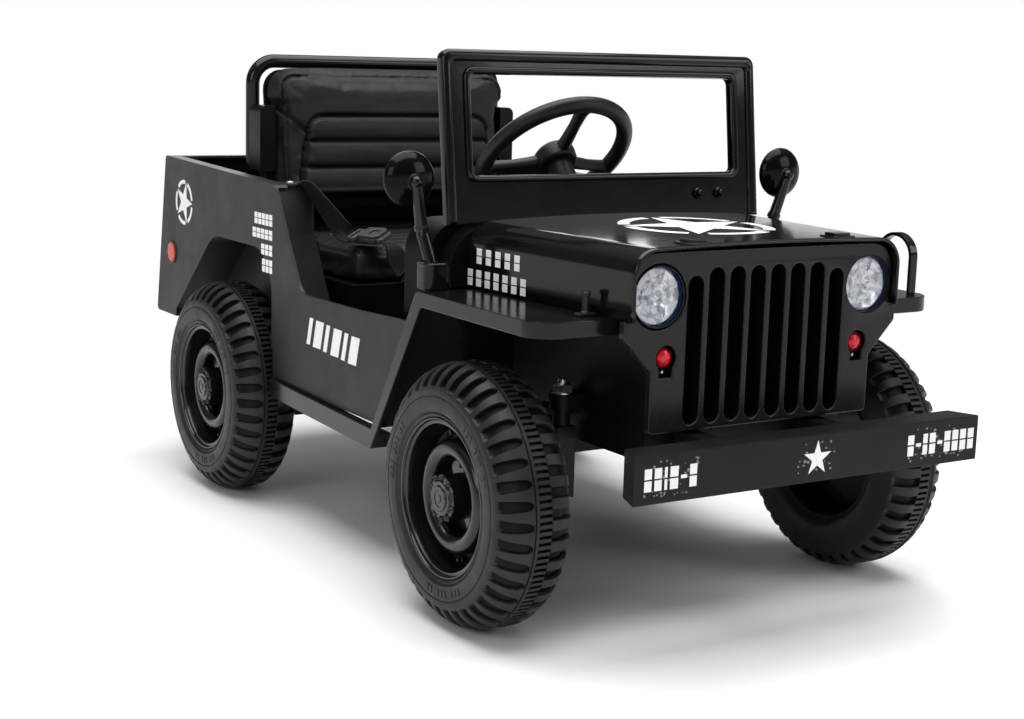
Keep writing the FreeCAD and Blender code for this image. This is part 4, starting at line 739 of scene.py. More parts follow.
def rim_parts():
    """The rim's parts, each with its material; outside at +X."""
    ring = [(6.6, 57.8), (10, 57.8)]
    for step in range(17):
        turn = radians(-10 + 200 * step / 16)
        ring.append((RING_FRONT - 9.6 + 9.6 * sin(turn), 48.2 + 9.6 * cos(turn)))
    ring += [(10, 38.6), (9, 38.2)]
    flange = [(33, 80), (35.2, 80), (36, 79.2), (36, 77.8), (35, 76.9), (33.4, 76.5),
              (32.6, 75.4), (32.2, 73.6), (30.4, 72.8), (26, 72.2)]
    hub = [(6.8, 23.4), (23.5, 22.8), (32.6, 22.6), (33.6, 21.8), (33.6, 18.6), (34.4, 18),
           (35.2, 17.6), (35.8, 16.8), (35.8, 13.4), (36.8, 12.8), (37.4, 12), (37.4, 8.6),
           (36.6, 8), (36.6, 4.2), (37.4, 3.6), (37.6, 0.01)]
    back = [(0, 0.01), (0, 66), (6, 72), (-30, 72), (-33, 75), (-33, 80),
            (-10, 78), (33, 80)]
    outer_well = [(26, 72.2), (14, 71), (8, 68.6), (6.6, 65), (6.6, 57.8)]
    inner_well = [(9, 38.2), (6, 37.6), (6, 24.2), (6.8, 23.4)]
    # The wells between flange, ring and hub are painted shade, darker than the rest of the same plastic
    parts = [(lathe(flange, 84), "rim"), (lathe(outer_well, 84), "well"), (lathe(ring, 84), "rim"),
             (lathe(inner_well, 84), "well"), (lathe(hub, 84), "rim"), (lathe(back, 72), "rim")]

    def add(mesh, matrix=Matrix()):
        mesh.transform(matrix)
        parts.append((mesh, "rim"))

    nut = [(26.5, 3.6), (34, 3.6), (34.6, 3), (35.6, 2.6), (36, 1.8), (35.2, 0.9), (35.2, 0.01)]
    for bolt in range(10):
        turn = radians(36 * bolt + 18)
        add(lathe(nut, 14), shift(0, 21.4 * cos(turn), 21.4 * sin(turn)))
    ear = ((-36, 24), (-34, 32.5), (-24, 35.5), (-12, 36.6), (0, 37), (12, 36.6), (24, 35.5),
           (34, 32.5), (36, 24))
    for turn in (radians(angle) for angle in (90, 210, 330)):
        loop = [(radius * cos(turn + radians(angle)), radius * sin(turn + radians(angle)))
                for angle, radius in ear]
        hole = ring_points(30.8 * cos(turn), 30.8 * sin(turn), 2.3, 14)[::-1]
        add(plate([loop, hole], "yz", 9.5, 13, 0.7, 2))
    vent = [(6.2, 3.4), (8.4, 3.2), (9, 2.4), (7.6, 1.4), (7.6, 0.01)]
    for number in range(12):
        add(lathe(vent, 12), turned(30 * number, "X") @ shift(0, 63.4, 0)
            @ Matrix.Diagonal((1, 1, 1.7, 1)))
    stem = [(6.4, 3.2), (13, 3), (13.6, 2.4), (17, 2), (17.6, 0.01)]
    for angle in (8, -14, 176):
        add(lathe(stem, 14), turned(angle, "X") @ shift(0, 0, 64.2))
    return parts


def make_wheels():
    tyre, marks = tyre_mesh(), sidewall_marks()
    for axle, y in AXLES.items():
        for side, sign in SIDES.items():
            wheel = axle + "_" + side
            spot = shift(sign * WHEEL_MIDDLE, y, WHEEL_RADIUS) @ flip(sign)
            cover = Build().add(tyre.copy(), ("tyre", "tread_shade"), spot).add(marks.copy(), "tyre", spot)
            cover.piece("tyre_" + wheel + "_tread", "wheel_" + wheel, "tyre", ("tyre_" + wheel,),
                        weld=False, outward=False)
            rim = Build()
            for part, material in rim_parts():
                rim.add(part, material, spot)
            rim.piece("rim_" + wheel + "_dish", "wheel_" + wheel, "rim_plastic", ("rim_" + wheel,))
    bpy.data.meshes.remove(tyre)
    bpy.data.meshes.remove(marks)


make_wheels()


# Windscreen

LEAN = shift(0, -191, 385.2) @ turned(-7, "X")


def make_windscreen():
    half, high = 207.3, 182
    side, top, low = 33.5, 25.5, 51
    frame_piece = Build()
    opening = box_points(-half + side, half - side, low, high - top, 7)
    base = rounded([(-half + 1, 0), (half - 1, 0), (half - 1, high - 1, 9), (-half + 1, high - 1, 9)])
    frame_piece.add(plate([base, opening], "xz", -3.5, 4.5, 1.2), "gloss", LEAN)
    rail = 13
    outer = rounded([(-half, 0), (-half + rail, 0), (-half + rail, high - rail, 5),
                     (half - rail, high - rail, 5), (half - rail, 0), (half, 0), (half, high, 11),
                     (-half, high, 11)])
    frame_piece.add(plate([outer], "xz", -8, 8, 5.6, 4), "gloss", LEAN)
    lip = 7.6
    ring = box_points(-half + side - lip, half - side + lip, low - lip, high - top + lip, 12)
    frame_piece.add(plate([ring, opening], "xz", -7.4, 7.4, 3.2, 3), "gloss", LEAN)
    for x in (122, 152):
        knob = lathe([(-3, 6.2), (-5.5, 6.2), (-6.2, 5.4), (-6.2, 4.2), (-10.6, 3.8), (-11.4, 3),
                      (-11.4, 0.01)], 20, "y")
        frame_piece.add(knob, "gloss", LEAN @ shift(x, 0, 27))
    frame_piece.piece("windscreen_rails", CAR, "gloss_black", ("windscreen_frame",))


make_windscreen()


# Bonnet, cowl and grille

BONNET_FRONT, BONNET_REAR = -472, -207.4
BONNET_TOP, BONNET_FOOT = 391, 322.3
SHOULDER = 27
CROWN = 2.4


def bonnet_half(y):
    share = (y - BONNET_FRONT) / (BONNET_REAR - BONNET_FRONT)
    return 166.8 + 23 * share


def bonnet_height(x, y):
    """The top of the bonnet, crowned across and a little higher towards the windscreen."""
    share = min(1, abs(x) / (bonnet_half(y) - SHOULDER))
    rise = (y - BONNET_FRONT) / (BONNET_REAR - BONNET_FRONT)
    return BONNET_TOP + (CROWN + 1.6 * rise) * (1 - share * share)


def make_bonnet():
    """The bonnet panel: tapered, crowned, with round shoulders and a folded front edge."""
    stations = [-472, -471.2, -469.6, -466, -455, -430, -400, -365, -330, -300,
                -270, -245, -228, -218, -212, -209, -207.6]
    drops = {0: 2.2, 1: 0.9, 2: 0.15, 15: 0.7, 16: 2.4}
    verts = []
    for number, y in enumerate(stations):
        fall = drops.get(number, 0)
        half = bonnet_half(y) - fall
        row = [(-half, y, z) for z in (BONNET_FOOT, 333, 345, BONNET_TOP - SHOULDER)]
        for step in range(1, 13):
            turn = radians(90 * step / 12)
            row.append((-half + SHOULDER * (1 - cos(turn)), y,
                        BONNET_TOP - fall - SHOULDER * (1 - sin(turn))))
        for step in range(1, 13):
            x = (-half + SHOULDER) * (1 - step / 12)
            row.append((x, y, bonnet_height(x, y) - fall))
        verts += row + [(-x, y, z) for x, y, z in reversed(row[:-1])]
    faces = grid_faces(len(stations), len(verts) // len(stations))
    build = Build().add(from_data(verts, faces), "gloss")
    thing = build.piece("bonnet_panel", CAR, "gloss_black", ("bonnet",), outward=False)
    wall = thing.modifiers.new("wall", "SOLIDIFY")
    wall.thickness = 4 * SCALE
    wall.offset = -1


make_bonnet()


def walls(loop, front, back, closed_back=True):
    """The side walls of an outline between two places along Y, with or without an end."""
    count = len(loop)
    verts = [(a, depth, b) for depth in (front, back) for a, b in loop]
    faces = grid_faces(2, count, loop=True)
    return from_data(verts, faces + end_faces(2, count)[1:] if closed_back else faces)


def keyhole(x, z, radius, foot):
    """A marker lamp's recess: round, with a small tab below for its screw."""
    turns = [radians(-48 + 276 * step / 24) for step in range(25)]
    return ([(x + radius * cos(turn), z + radius * sin(turn)) for turn in turns]
            + [(x - 7.4, z - foot), (x + 7.4, z - foot)])


def make_grille():
    front = -464
    outline = rounded([(-138, 212, 5), (138, 212, 5), (138, 271, 5), (170.8, 305, 5),
                       (170.8, 321.6, 2), (162.2, 321.6), (162.2, 385.8, 26), (-162.2, 385.8, 26),
                       (-162.2, 321.6), (-170.8, 321.6, 2), (-170.8, 305, 5), (-138, 271, 5)])
    slots = [slot_points(25.3 * (index - 3.5), 218, 361.5 if index in (0, 7) else 368.5, 9.3)
             for index in range(8)]
    lamps = [ring_points(sign * LAMP[0], LAMP[1], 31.6, 56) for sign in SIDES.values()]
    recesses = [keyhole(sign * MARKER[0], MARKER[1], 12, 18.6) for sign in SIDES.values()]
    build = Build()
    build.add(plate([outline] + slots + lamps + recesses, "xz", front, front + 3.6, 1.6, 3), "grille")
    build.add(walls(outline, front + 1.8, front + 8, False), "grille")
    # The slots' and recesses' inner walls are painted shade: near-black for the shadow inside them
    for loops, depth in ((slots, -444.2), (recesses, front + 6.6)):
        for loop in loops:
            build.add(walls(loop, front + 2, depth), "deep_shadow")
    backing = [(-124, 214), (124, 214), (124, 271), (101.5, 300), (101.5, 374), (-101.5, 374),
               (-101.5, 300), (-124, 271)]
    build.add(walls(backing, -457, -440.2), "black")
    build.piece("grille_plate", CAR, "gloss_black", ("grille",), outward=False)


make_grille()


def headlamp(build, x, z):
    """A lamp sunk into the plate: stepped recess and lip in painted shade, blue ring, and a faceted lens
    whose bright colour is a painted reflection.
    """
    spot = shift(x, 0, z)
    recess = [(-462.2, 31.6), (-457.6, 31.5), (-457, 30.9), (-456.8, 30.4), (-458.6, 30.2)]
    lip = [(-458.6, 30.3), (-462.6, 30.2), (-463.2, 29.8), (-463.3, 29.1), (-462.9, 28.7),
           (-462.3, 28.5)]
    # The recess and the lip are painted shade; the blue bezel is the ring's own colour
    for profile, material in ((recess, "deep_shadow"), (lip, "well"), ([(-462.3, 28.5), (-459.4, 28.2)], "well"),
                              ([(-459.4, 28.2), (-454, 27.8)], "bezel")):
        build.add(lathe(profile, 56, "y"), material, spot)
    verts, faces = [], []
    rings = [(27.9, -455.4), (26.2, -457.4), (18.2, -454.6), (16.6, -457), (10.4, -453.6),
             (9.2, -456.2), (4.6, -454.6)]
    steps = 14
    for ring, (radius, depth) in enumerate(rings):
        for step in range(steps):
            turn = 2 * pi * (step + 0.5 * (ring % 2)) / steps
            push = (1.1 if (step + ring) % 2 else -0.5) if 1 <= ring <= 4 else 0
            verts.append((radius * cos(turn), depth + push, radius * sin(turn)))
    for ring in range(len(rings) - 1):
        for step in range(steps):
            a, b = ring * steps + step, ring * steps + (step + 1) % steps
            c, d = a + steps, b + steps
            faces += [(a, b, d), (a, d, c)] if ring % 2 else [(a, b, c), (b, d, c)]
    faces.append(end_faces(len(rings), steps)[1])
    build.add(from_data(verts, faces), "facet", spot)
    for bulb in range(7):
        turn = radians(60 * bulb)
        reach = 6.6 if bulb < 6 else 0
        place = (reach * cos(turn), -455.2, reach * sin(turn))
        build.add(dome(place, 2.5, 2.3, (0, -1, 0), 4, 12), "facet", spot)
    for rib in range(8):
        build.add(block((-0.7, -457.8, 11), (0.7, -455, 26.4), 0.4, 1), "facet",
                  spot @ turned(45 * rib + 22.5, "Y"))


def make_lamps():
    for side, sign in SIDES.items():
        x, z = sign * LAMP[0], LAMP[1]
        build = Build()
        headlamp(build, x, z)
        build.piece("headlamp_bowl_" + side, CAR, "lamp_clear", ("headlamps",), sharp=radians(8),
                    outward=False)
        cover = Build().add(dome((x, -458, z), 27.7, 1.8, (0, -1, 0), 8, 40), "glass")
        cover.piece("headlamp_cover_" + side, CAR, "lamp_clear", ("headlamps",))
        x, z = sign * MARKER[0], MARKER[1]
        marker = Build()
        ring = [(-457.2, 10.6), (-459.4, 10.4), (-459.8, 9.8), (-459.4, 9.2), (-457.8, 8.9)]
        marker.add(lathe(ring, 32, "y"), "black", shift(x, 0, z))
        screw = [(-457.2, 1.8), (-458.4, 1.6), (-458.8, 0.9), (-458.2, 0.01)]
        marker.add(lathe(screw, 12, "y"), "steel", shift(x, 0, z - 14.2))
        marker.add(dome((x, -457.4, z), 9.2, 5.6, (0, -1, 0), 8, 32), "red")
        marker.piece("marker_lamp_" + side, CAR, "lamp_red", ("marker_lamps",), outward=False)


make_lamps()


# Markings

def star_points(radius, turn=0.0):
    """Five-point star outline with one tip along +b, turned by degrees."""
    points = []
    for index in range(10):
        size = radius * (0.382 if index % 2 else 1)
        angle = radians(90 + turn + 36 * index)
        points.append((size * cos(angle), size * sin(angle)))
    return points


def ring_parts(outer, inner, turn, gap):
    """Five ring stretches that leave a gap at each tip of a star."""
    loops = []
    for index in range(5):
        low = radians(90 + turn + 72 * index) + gap
        high = radians(90 + turn + 72 * (index + 1)) - gap
        arc = [low + (high - low) * step / 14 for step in range(15)]
        loops.append([(outer * cos(a), outer * sin(a)) for a in arc]
                     + [(inner * cos(a), inner * sin(a)) for a in reversed(arc)])
    return loops


def fine_fill(loops, size):
    """A thin sheet of small triangles inside outlines, so that it can follow a curved panel."""
    mesh = plate(loops, "xy", -0.05, 0.05, 0)
    shape = bmesh.new()
    shape.from_mesh(mesh)
    bpy.data.meshes.remove(mesh)
    gone = [face for face in shape.faces if face.calc_center_median().z < 0.04]
    bmesh.ops.delete(shape, geom=gone, context="FACES")
    bmesh.ops.triangulate(shape, faces=shape.faces[:])
    for _ in range(4):
        long_edges = [edge for edge in shape.edges if edge.calc_length() > size]
        if not long_edges:
            break
        bmesh.ops.subdivide_edges(shape, edges=long_edges, cuts=1)
        bmesh.ops.triangulate(shape, faces=shape.faces[:])
    return from_shape(shape)


def bonnet_star():
    mesh = fine_fill([star_points(79)] + ring_parts(81, 68.5, 0, 0.13), 12)
    for vert in mesh.vertices:
        x, y = vert.co.x + 4, -341 + vert.co.y
        vert.co = Vector((x, y, bonnet_height(x, y) + 0.35))
    Build().add(mesh, "decal").piece("bonnet_star", CAR, "gloss_black", outward=False)


def bars(widths, low_a, low_b, high, gap):
    """A row of stencil bars: widths in mm, with 0 for a short dash."""
    loops = []
    a = low_a
    for width in widths:
        cuts = ((0, high * 0.47), (high * 0.47 + high * 0.07, high))
        if width == 0:
            width = high * 0.32
            cuts = ((high * 0.42, high * 0.58),)
        for low_cut, high_cut in cuts:
            loops.append([(a, low_b + low_cut), (a + width, low_b + low_cut),
                          (a + width, low_b + high_cut), (a, low_b + high_cut)])
        a += width + gap
    return loops


def flat_marks(name, loops, plane, place, out, slot="tub_plastic"):
    """Markings on a flat face, a little proud of it."""
    low, high = sorted((place, place + out * MARK_PROUD))
    Build().add(plate(loops, plane, low, high), "decal").piece(name, CAR, slot)


def bumper_marks():
    flat_marks("bumper_star", placed([star_points(17.5)], 0, 194), "xz", BUMPER_FACE, -1, "black_plastic")
    left = bars([8, 8, 3, 9, 0, 8], -203, 183.5, 21, 3.2)
    right = bars([8, 0, 6, 8, 0, 8, 8, 8, 8], 118, 183.5, 21, 2.9)
    flat_marks("bumper_bars", left + right, "xz", BUMPER_FACE, -1, "black_plastic")
    build = Build()
    spots = random.Random(5)
    for low, high, count in ((-203, -143, 46), (118, 205, 60), (-24, 24, 30)):
        for _ in range(count):
            a = spots.uniform(low, high)
            b = spots.uniform(178, 211)
            size = spots.uniform(0.8, 2.6)
            loop = [(a + size * spots.uniform(0.5, 1) * cos(t), b + size * spots.uniform(0.4, 0.9) * sin(t))
                    for t in (0, 1.1, 2.2, 3.3, 4.4, 5.5)]
            build.add(plate([loop], "xz", BUMPER_FACE - 0.12, BUMPER_FACE), "speck")
    build.piece("bumper_specks", CAR, "black_plastic")


def side_marks():
    for side, sign in SIDES.items():
        place = sign * SIDE_FACE
        star = placed([star_points(28.5, 90)] + ring_parts(30, 25, 90, 0.16), 444.6, 353)
        flat_marks("side_star_" + side, star, "yz", place, sign)
        rows = []
        for low, high, length in ((349, 363, 52), (332, 344, 58), (313, 326, 32),
                                  (292, 308, 29)):
            count = max(3, int(length / 10))
            width = (length - 2.2 * (count - 1)) / count
            rows += bars([width] * count, 159, low, high - low, 2.2)
        flat_marks("side_rows_" + side, rows, "yz", place, sign)
        slant = []
        for index, start in enumerate((-66, -38, -22, 8, 24, 52)):
            end = start + (9 if index % 2 else 20)
            slant.append([(start, 218 + index), (end, 218 + index), (end - 9, 250 + index),
                          (start - 9, 250 + index)])
        flat_marks("side_slant_" + side, slant, "yz", place, sign)


def bonnet_side_marks():
    for side, sign in SIDES.items():
        upper = placed(bars([9] * 5, 0, 0, 16, 7), -298, 349)
        lower = placed(bars([9] * 8, 0, 0, 17, 6), -309, 325.5)
        mesh = fine_fill(upper + lower, 20)
        for vert in mesh.vertices:
            y, z = vert.co.x, vert.co.y
            vert.co = Vector((sign * (bonnet_half(y) + 0.3), y, z))
        Build().add(mesh, "decal").piece("bonnet_bars_" + side, CAR, "gloss_black", outward=False)


bonnet_star()
bumper_marks()
side_marks()
bonnet_side_marks()


# Body panels that keep their solids' form

# Node, material and softness; then body, slot, steps and corners where they differ from the usual
for row in (
        ("tub", "tub", 1.3, CAR, "tub_plastic"),
        ("cowl", "cowl", 3, CAR, "fender_plastic", 3),
        ("fender_right", "fender", 1.4, CAR, "fender_plastic"),
        ("fender_left", "fender", 1.4, CAR, "fender_plastic"),
        # The nose on this row is painted shade, darker for the shadow between grille and tyres
        ("bumper", "black", 1.6), ("bumper_brackets", "black", 1), ("nose", "well", 1.5),
        ("dashboard", "black", 2), ("chassis", "black", 2),
        ("seat_shell", "shell", 1.5, CAR, "black_plastic", 2, ((172, 531, 27), (190, 486, 9))),
        ("gearbox_right", "black", 2), ("gearbox_left", "black", 2), ("battery", "black", 2),
        # The front axle and the knuckles are painted shade, darker for the shadow behind the wheels
        ("front_axle", "well", 1, CAR, "dark_metal"),
        ("tie_rod", "dark_metal", 0.6, "tie_rod_body", "dark_metal"),
        ("knuckle_right", "well", 0.6, "knuckle_right_body", "dark_metal"),
        ("knuckle_left", "well", 0.6, "knuckle_left_body", "dark_metal"),
        ("brush_guard", "gloss", 1), ("pedal", "black", 1.5), ("shift_lever", "black", 1.2),
        ("steering_shaft", "dark_metal", 0.5, "steering_body", "dark_metal"),
        ("steering_column", "black", 1.5)):
    dressed(*row)
finish_node("rear_axle", "steel")
finish_node("roll_bar", "gloss")


# Lamps and reflectors at the rear and sides

def make_reflectors():
    discs, lamps = Build(), Build()
    # The tail lamps lie on the tub's rear wall, which leans forward between two heights
    low, high, lean, height = 194.7, 411.5, 36.4, 300
    tilt = turned(degrees(atan2(lean, high - low)), "X")
    for sign in SIDES.values():
        spot = shift(sign * SIDE_FACE, 489.9, 281.5) @ flip(sign)
        discs.add(lathe([(0, 16), (1.6, 15.8), (2.2, 14.8), (1.8, 13.4), (0.4, 13.2)], 36), "olive", spot)
        discs.add(lathe([(0.6, 13.4), (1.8, 13), (2.2, 12), (2.3, 0.01)], 36), "reflector", spot)
        face = shift(sign * 196, 548 - lean * (height - low) / (high - low), height) @ tilt
        lamps.add(lathe([(0, 17.5), (3, 17.3), (4.4, 16.2), (4, 14.8)], 36, "y"), "black", face)
        lamps.add(dome((0, 2, 0), 15, 5.6, (0, 1, 0), 6, 36), "red", face)
    discs.piece("reflector_discs", CAR, "reflector_red", ("reflectors",), outward=False)
    lamps.piece("tail_lamp_lenses", CAR, "lamp_red", ("tail_lamps",), outward=False)


make_reflectors()


# Mirrors

def make_mirror(side, sign):
    x, y, z = 247.2, -182, 433.4
    build = Build()
    shell = [(-0.2, 28.4), (-1.4, 29), (-3.4, 29), (-4.6, 28.4), (-7.4, 26.6), (-10.6, 22.8),
             (-13.2, 17.2), (-15, 10.2), (-15.6, 4), (-15.8, 0.01)]
    rim = [(-0.4, 28.6), (0.6, 28.2), (0.9, 27.4), (-0.4, 26.8)]
    for profile, steps, material in ((shell, 56, "matt_shell"), (rim, 56, "black"),
                                     ([(-0.2, 27.2), (-0.1, 0.01)], 48, "mirror")):
        build.add(lathe(profile, steps, "y"), material, shift(sign * x, y, z))
    joint = (sign * x, y - 17.5, z - 2)
    ball = [(6.8 * sin(radians(t)), 6.8 * cos(radians(t))) for t in range(-88, 89, 16)]
    build.add(lathe(ball, 24), "gloss", shift(*joint))
    socket = [(5, 9.4), (1.8, 9.8), (0.4, 9.2), (-1.4, 8), (-2, 7.2)]
    build.add(lathe(socket, 28, "y"), "black", shift(sign * x, y - 15, z - 2))
    foot, knee, head = Vector((sign * 229, -203, 346)), Vector((sign * 235, -191.5, 381)), Vector(joint)
    upper = [head.lerp(knee, share) for share in (0, 0.12, 0.3, 0.6, 0.86, 0.9, 0.93, 0.99, 1)]
    build.add(tube(upper, 5.6, 20, radii=[5.4, 5.6, 5.9, 6.2, 6.5, 7.6, 7.7, 7.7, 6.8]), "fender")
    lower = [knee.lerp(foot, share) for share in (-0.02, 0.06, 0.1, 0.18, 0.5, 1)]
    build.add(tube(lower, 6.6, 20, radii=[6.2, 6.4, 7, 7, 6.9, 7.2]), "gloss")
    for half, corner, low, high, soft, steps in ((14.6, 9.5, 322.2, 350, 1.4, 3),
                                                 (15.2, 10, 346.6, 349.4, 0.8, 2)):
        hoop = box_points(-half, half, -half, half, corner, 6)
        build.add(plate([hoop], "xy", low, high, soft, steps), "gloss", shift(sign * 229, -206, 0))
    build.piece("mirror_head_" + side, CAR, "gloss_black", ("mirror_" + side,), outward=False)


for side, sign in SIDES.items():
    make_mirror(side, sign)


def make_small_fittings():
    """Fender pins, bonnet catches, hinge clips with their screws and the kingpins' nuts."""
    pins, catches, clips = Build(), Build(), Build()
    shank = [(2.4, 0.01), (2.4, 5.2), (4.2, 4.6), (5, 3.5), (19, 3.4), (19.6, 4.4), (22.6, 4.6),
             (23.8, 3.8), (24.2, 0.01)]
    low = both_halves([(-14.5, -10), (-10, -12.6), (10, -12.6), (14.5, -10)])
    high = [(a * 0.72, b * 0.72) for a, b in low]
    for sign in SIDES.values():
        spot = shift(sign * 183, -417, 322)
        pins.add(block((-10, -5, 0.2), (10, 5, 3.2), 1.2, 3), "bolt", spot)
        pins.add(lathe(shank, 24, "z"), "bolt", spot)
        spot = shift(sign * 91, -458, 0)
        catches.add(plate([low], "xy", 390.6, 394, 1, 2), "gloss", spot)
        catches.add(plate([high], "xy", 393.4, 396.8, 0.9, 2), "gloss", spot)
    pins.piece("fender_pin_bolts", CAR, "black_plastic", ("fender_pins",))
    catches.piece("bonnet_catches", CAR, "gloss_black", ("bonnet_latches",))
    head = [(0, 3.6), (1.2, 3.4), (2, 2.4), (2.2, 1), (1.4, 0.9), (1.4, 0.01)]
    for start in (-101, 125):
        clips.add(block((start, -170, 383.2), (start + 48, -150, 387), 1.2, 2), "black")
        for along in (12, 36):
            clips.add(lathe(head, 20, "z"), "steel", shift(start + along, -160, 386.8))
    clips.piece("hinge_clips", CAR, "black_plastic")
    for side, sign in SIDES.items():
        nuts = Build()
        for mesh in (lathe([(0, 11.6), (1.4, 11.8), (1.5, 10)], 36, "z"),
                     plate([ring_points(0, 0, 10.8, 6)], "xy", 1.2, 9.6, 0.8, 2),
                     lathe([(9, 5.4), (14.2, 5.4), (15.2, 4.6), (15.2, 0.01)], 20, "z")):
            nuts.add(mesh, "steel", shift(sign * 142, -321.7, 227.2))
        nuts.piece("kingpin_nut_" + side, "knuckle_" + side + "_body", "steel", outward=False)


def strap(points, ways, width, thick):
    """A woven strap along points, with its own width direction at each."""
    spots = [Vector(point) for point in points]
    turns = [Vector(way).normalized() for way in ways]
    path, flats = [], []
    for index in range(len(spots) - 1):
        before, here = spots[max(index - 1, 0)], spots[index]
        there, after = spots[index + 1], spots[min(index + 2, len(spots) - 1)]
        steps = max(3, int((there - here).length / 5))
        for step in range(steps):
            t = step / steps
            ease = 0.35
            m0, m1 = (there - before) * ease, (after - here) * ease
            path.append(here * (2 * t ** 3 - 3 * t ** 2 + 1) + m0 * (t ** 3 - 2 * t ** 2 + t)
                        + there * (3 * t ** 2 - 2 * t ** 3) + m1 * (t ** 3 - t ** 2))
            share = t * t * (3 - 2 * t)
            flats.append(turns[index].lerp(turns[min(index + 1, len(turns) - 1)], share).normalized())
    path.append(spots[-1])
    flats.append(turns[-1])
    profile = [(-0.5, 0), (-0.485, 0.5), (-0.45, 0.62), (-0.41, 0.5), (-0.38, 0.42), (0, 0.46),
               (0.38, 0.42), (0.41, 0.5), (0.45, 0.62), (0.485, 0.5)]
    outline = [(a * width, b * thick) for a, b in profile]
    outline += [(0.5 * width, 0)] + [(-a * width, -b * thick) for a, b in profile[1:]]
    verts, count = [], len(outline)
    for index, spot in enumerate(path):
        along = (path[min(index + 1, len(path) - 1)] - path[max(index - 1, 0)]).normalized()
        flat = (flats[index] - along * flats[index].dot(along)).normalized()
        rise = along.cross(flat)
        for a, b in outline:
            verts.append(spot + flat * a + rise * b)
    return from_data(verts, grid_faces(len(path), count, loop=True) + end_faces(len(path), count))


def make_belt():
    """The strap from the tub's rims across the seat's front, with its end plates."""
    stops = [(226, 168, 399), (212, 161, 400), (203, 155, 398), (187, 147, 379), (167, 137, 350),
             (158, 132, 338), (149, 126, 333), (137, 108, 332.2), (125, 91, 331.4), (116, 88.4, 320),
             (104, 88, 300), (88, 88, 290), (66, 88, 284.6), (0, 88, 284)]
    ways = [(1, 2, 0)] * 4 + [(2, 2, 0), (4, -1, 0), (4, -3, 0), (4, -3, 0), (3, -1, 1), (1, 0, 0.6),
                              (1, 0, 1), (0.4, 0, 1), (0, 0, 1), (0, 0, 1)]
    web, ends = Build(), Build()
    tab = both_halves([(-15, -13.5, 4), (10, -13.5, 4), (15, -9, 4)])
    screw = [(401, 4.6), (402.2, 4.4), (403, 3.4), (403.3, 1.6), (402.4, 1.4), (402.4, 0.01)]
    for sign in SIDES.values():
        web.add(strap(stops, ways, 25.6, 2.2), "web", flip(sign))
        ends.add(plate([tab], "xy", 399, 401.2, 0.7, 2), "bolt", shift(sign * 214, 168, 0) @ flip(sign))
        ends.add(lathe(screw, 24, "z"), "steel", shift(sign * 218, 168, 0))
    web.piece("belt_strap", CAR, "belt_web", ("seat_belt",))
    ends.piece("belt_end_plates", CAR, "black_plastic")


def make_buckle():
    """A side-release buckle: body with its side windows, prongs, bars and centre rib."""
    place = shift(-138.5, 110, 334.6) @ turned(-56, "Z") @ turned(14, "X")
    buckle = Build()

    def add(loops, low, high, soft, steps=2):
        buckle.add(plate(loops, "xy", low, high, soft, steps), "buckle", place)

    body = both_halves([(-8, -15, 3), (14, -17.2, 5), (19, -11, 4)])
    add([body], 1, 9.4, 2.2, 3)
    add([body, both_halves([(2, -8, 2), (12, -8, 2)])], 9, 11.6, 0.9)
    for side in (-1, 1):
        prong = rounded([(-16, side * 7, 1.5), (-4, side * 12.5, 2), (4, side * 17.8, 3),
                         (8, side * 14, 2), (-4, side * 7.5, 1.5)][::side])
        add([prong], 2.4, 8, 1)
    add([both_halves([(-23, -16, 3), (-12, -16, 2)]),
         both_halves([(-20.6, -13, 1), (-17.4, -13, 1)])], 1.6, 8.4, 1.2)
    add([both_halves([(16, -15, 2), (23, -15, 3)])], 1.6, 7.4, 1.2)
    buckle.add(block((-12, -2.6, 3), (2, 2.6, 8.6), 0.9, 2), "buckle", place)
    buckle.piece("buckle_body", CAR, "buckle", ("belt_buckle",), weld=False)


make_small_fittings()
make_belt()
make_buckle()


# Steering wheel

def make_steering_wheel():
    build = Build()
    lean = radians(46)
    head = Vector((0, -77, 448))
    normal, up = Vector((0, cos(lean), sin(lean))), Vector((0, -sin(lean), cos(lean)))

    def way(turn):
        return up * cos(turn) + Vector((1, 0, 0)) * sin(turn)

    ring = [head + way(2 * pi * step / 72) * 87.6 for step in range(72)]
    build.add(tube(ring, 9.4, 20, closed=True), "wheel_grip")
    for angle in (0, 105, -105):
        spoke = way(radians(angle))
        path = [head + spoke * reach - normal * sink
                for reach, sink in ((14, 4), (30, 4), (55, 2), (74, 0), (84, 0))]
        build.add(tube(path, 6.5, 16, radii=[8.6, 7.6, 6.6, 7.4, 9.2]), "wheel_grip")
    hub = [(-14, 0.01), (-14, 22), (-12, 24), (-4, 25), (2, 24.6), (4, 23), (4.6, 20.5), (6.6, 20),
           (7.4, 18.6), (7, 17), (9, 15.6), (10.8, 10), (11.4, 0.01)]
    build.add(lathe(hub, 40), "wheel_grip",
              Matrix.Translation(head) @ normal.to_track_quat("X", "Z").to_matrix().to_4x4())
    build.piece("steering_wheel_rim", "steering_body", "black_plastic", ("steering_wheel",))


make_steering_wheel()


# Seat

# The backrest's seams, and where its ribbed panel starts to round and how wide it is there
BACK_SEAMS = (376.8, 409.5, 443.2, 475.6)
BACK_CORNER, BACK_HALF = 452, 133
PAD_SIDE, PAD_TOP, PAD_ROUND = 168, 536, 28
# The seat's panel, its first line across and the lines' pitch
SEAT_PANEL, SEAT_LINE, SEAT_PITCH = 118, 128, 34
# The pads' grid in metres, and the frames that their cloth runs for
PAD_VOXEL = 0.004
CLOTH_FRAMES = 20


def bell(gap, width):
    """Falls from 1 at a line to 0 away from it."""
    return exp(-(gap / width) ** 2)


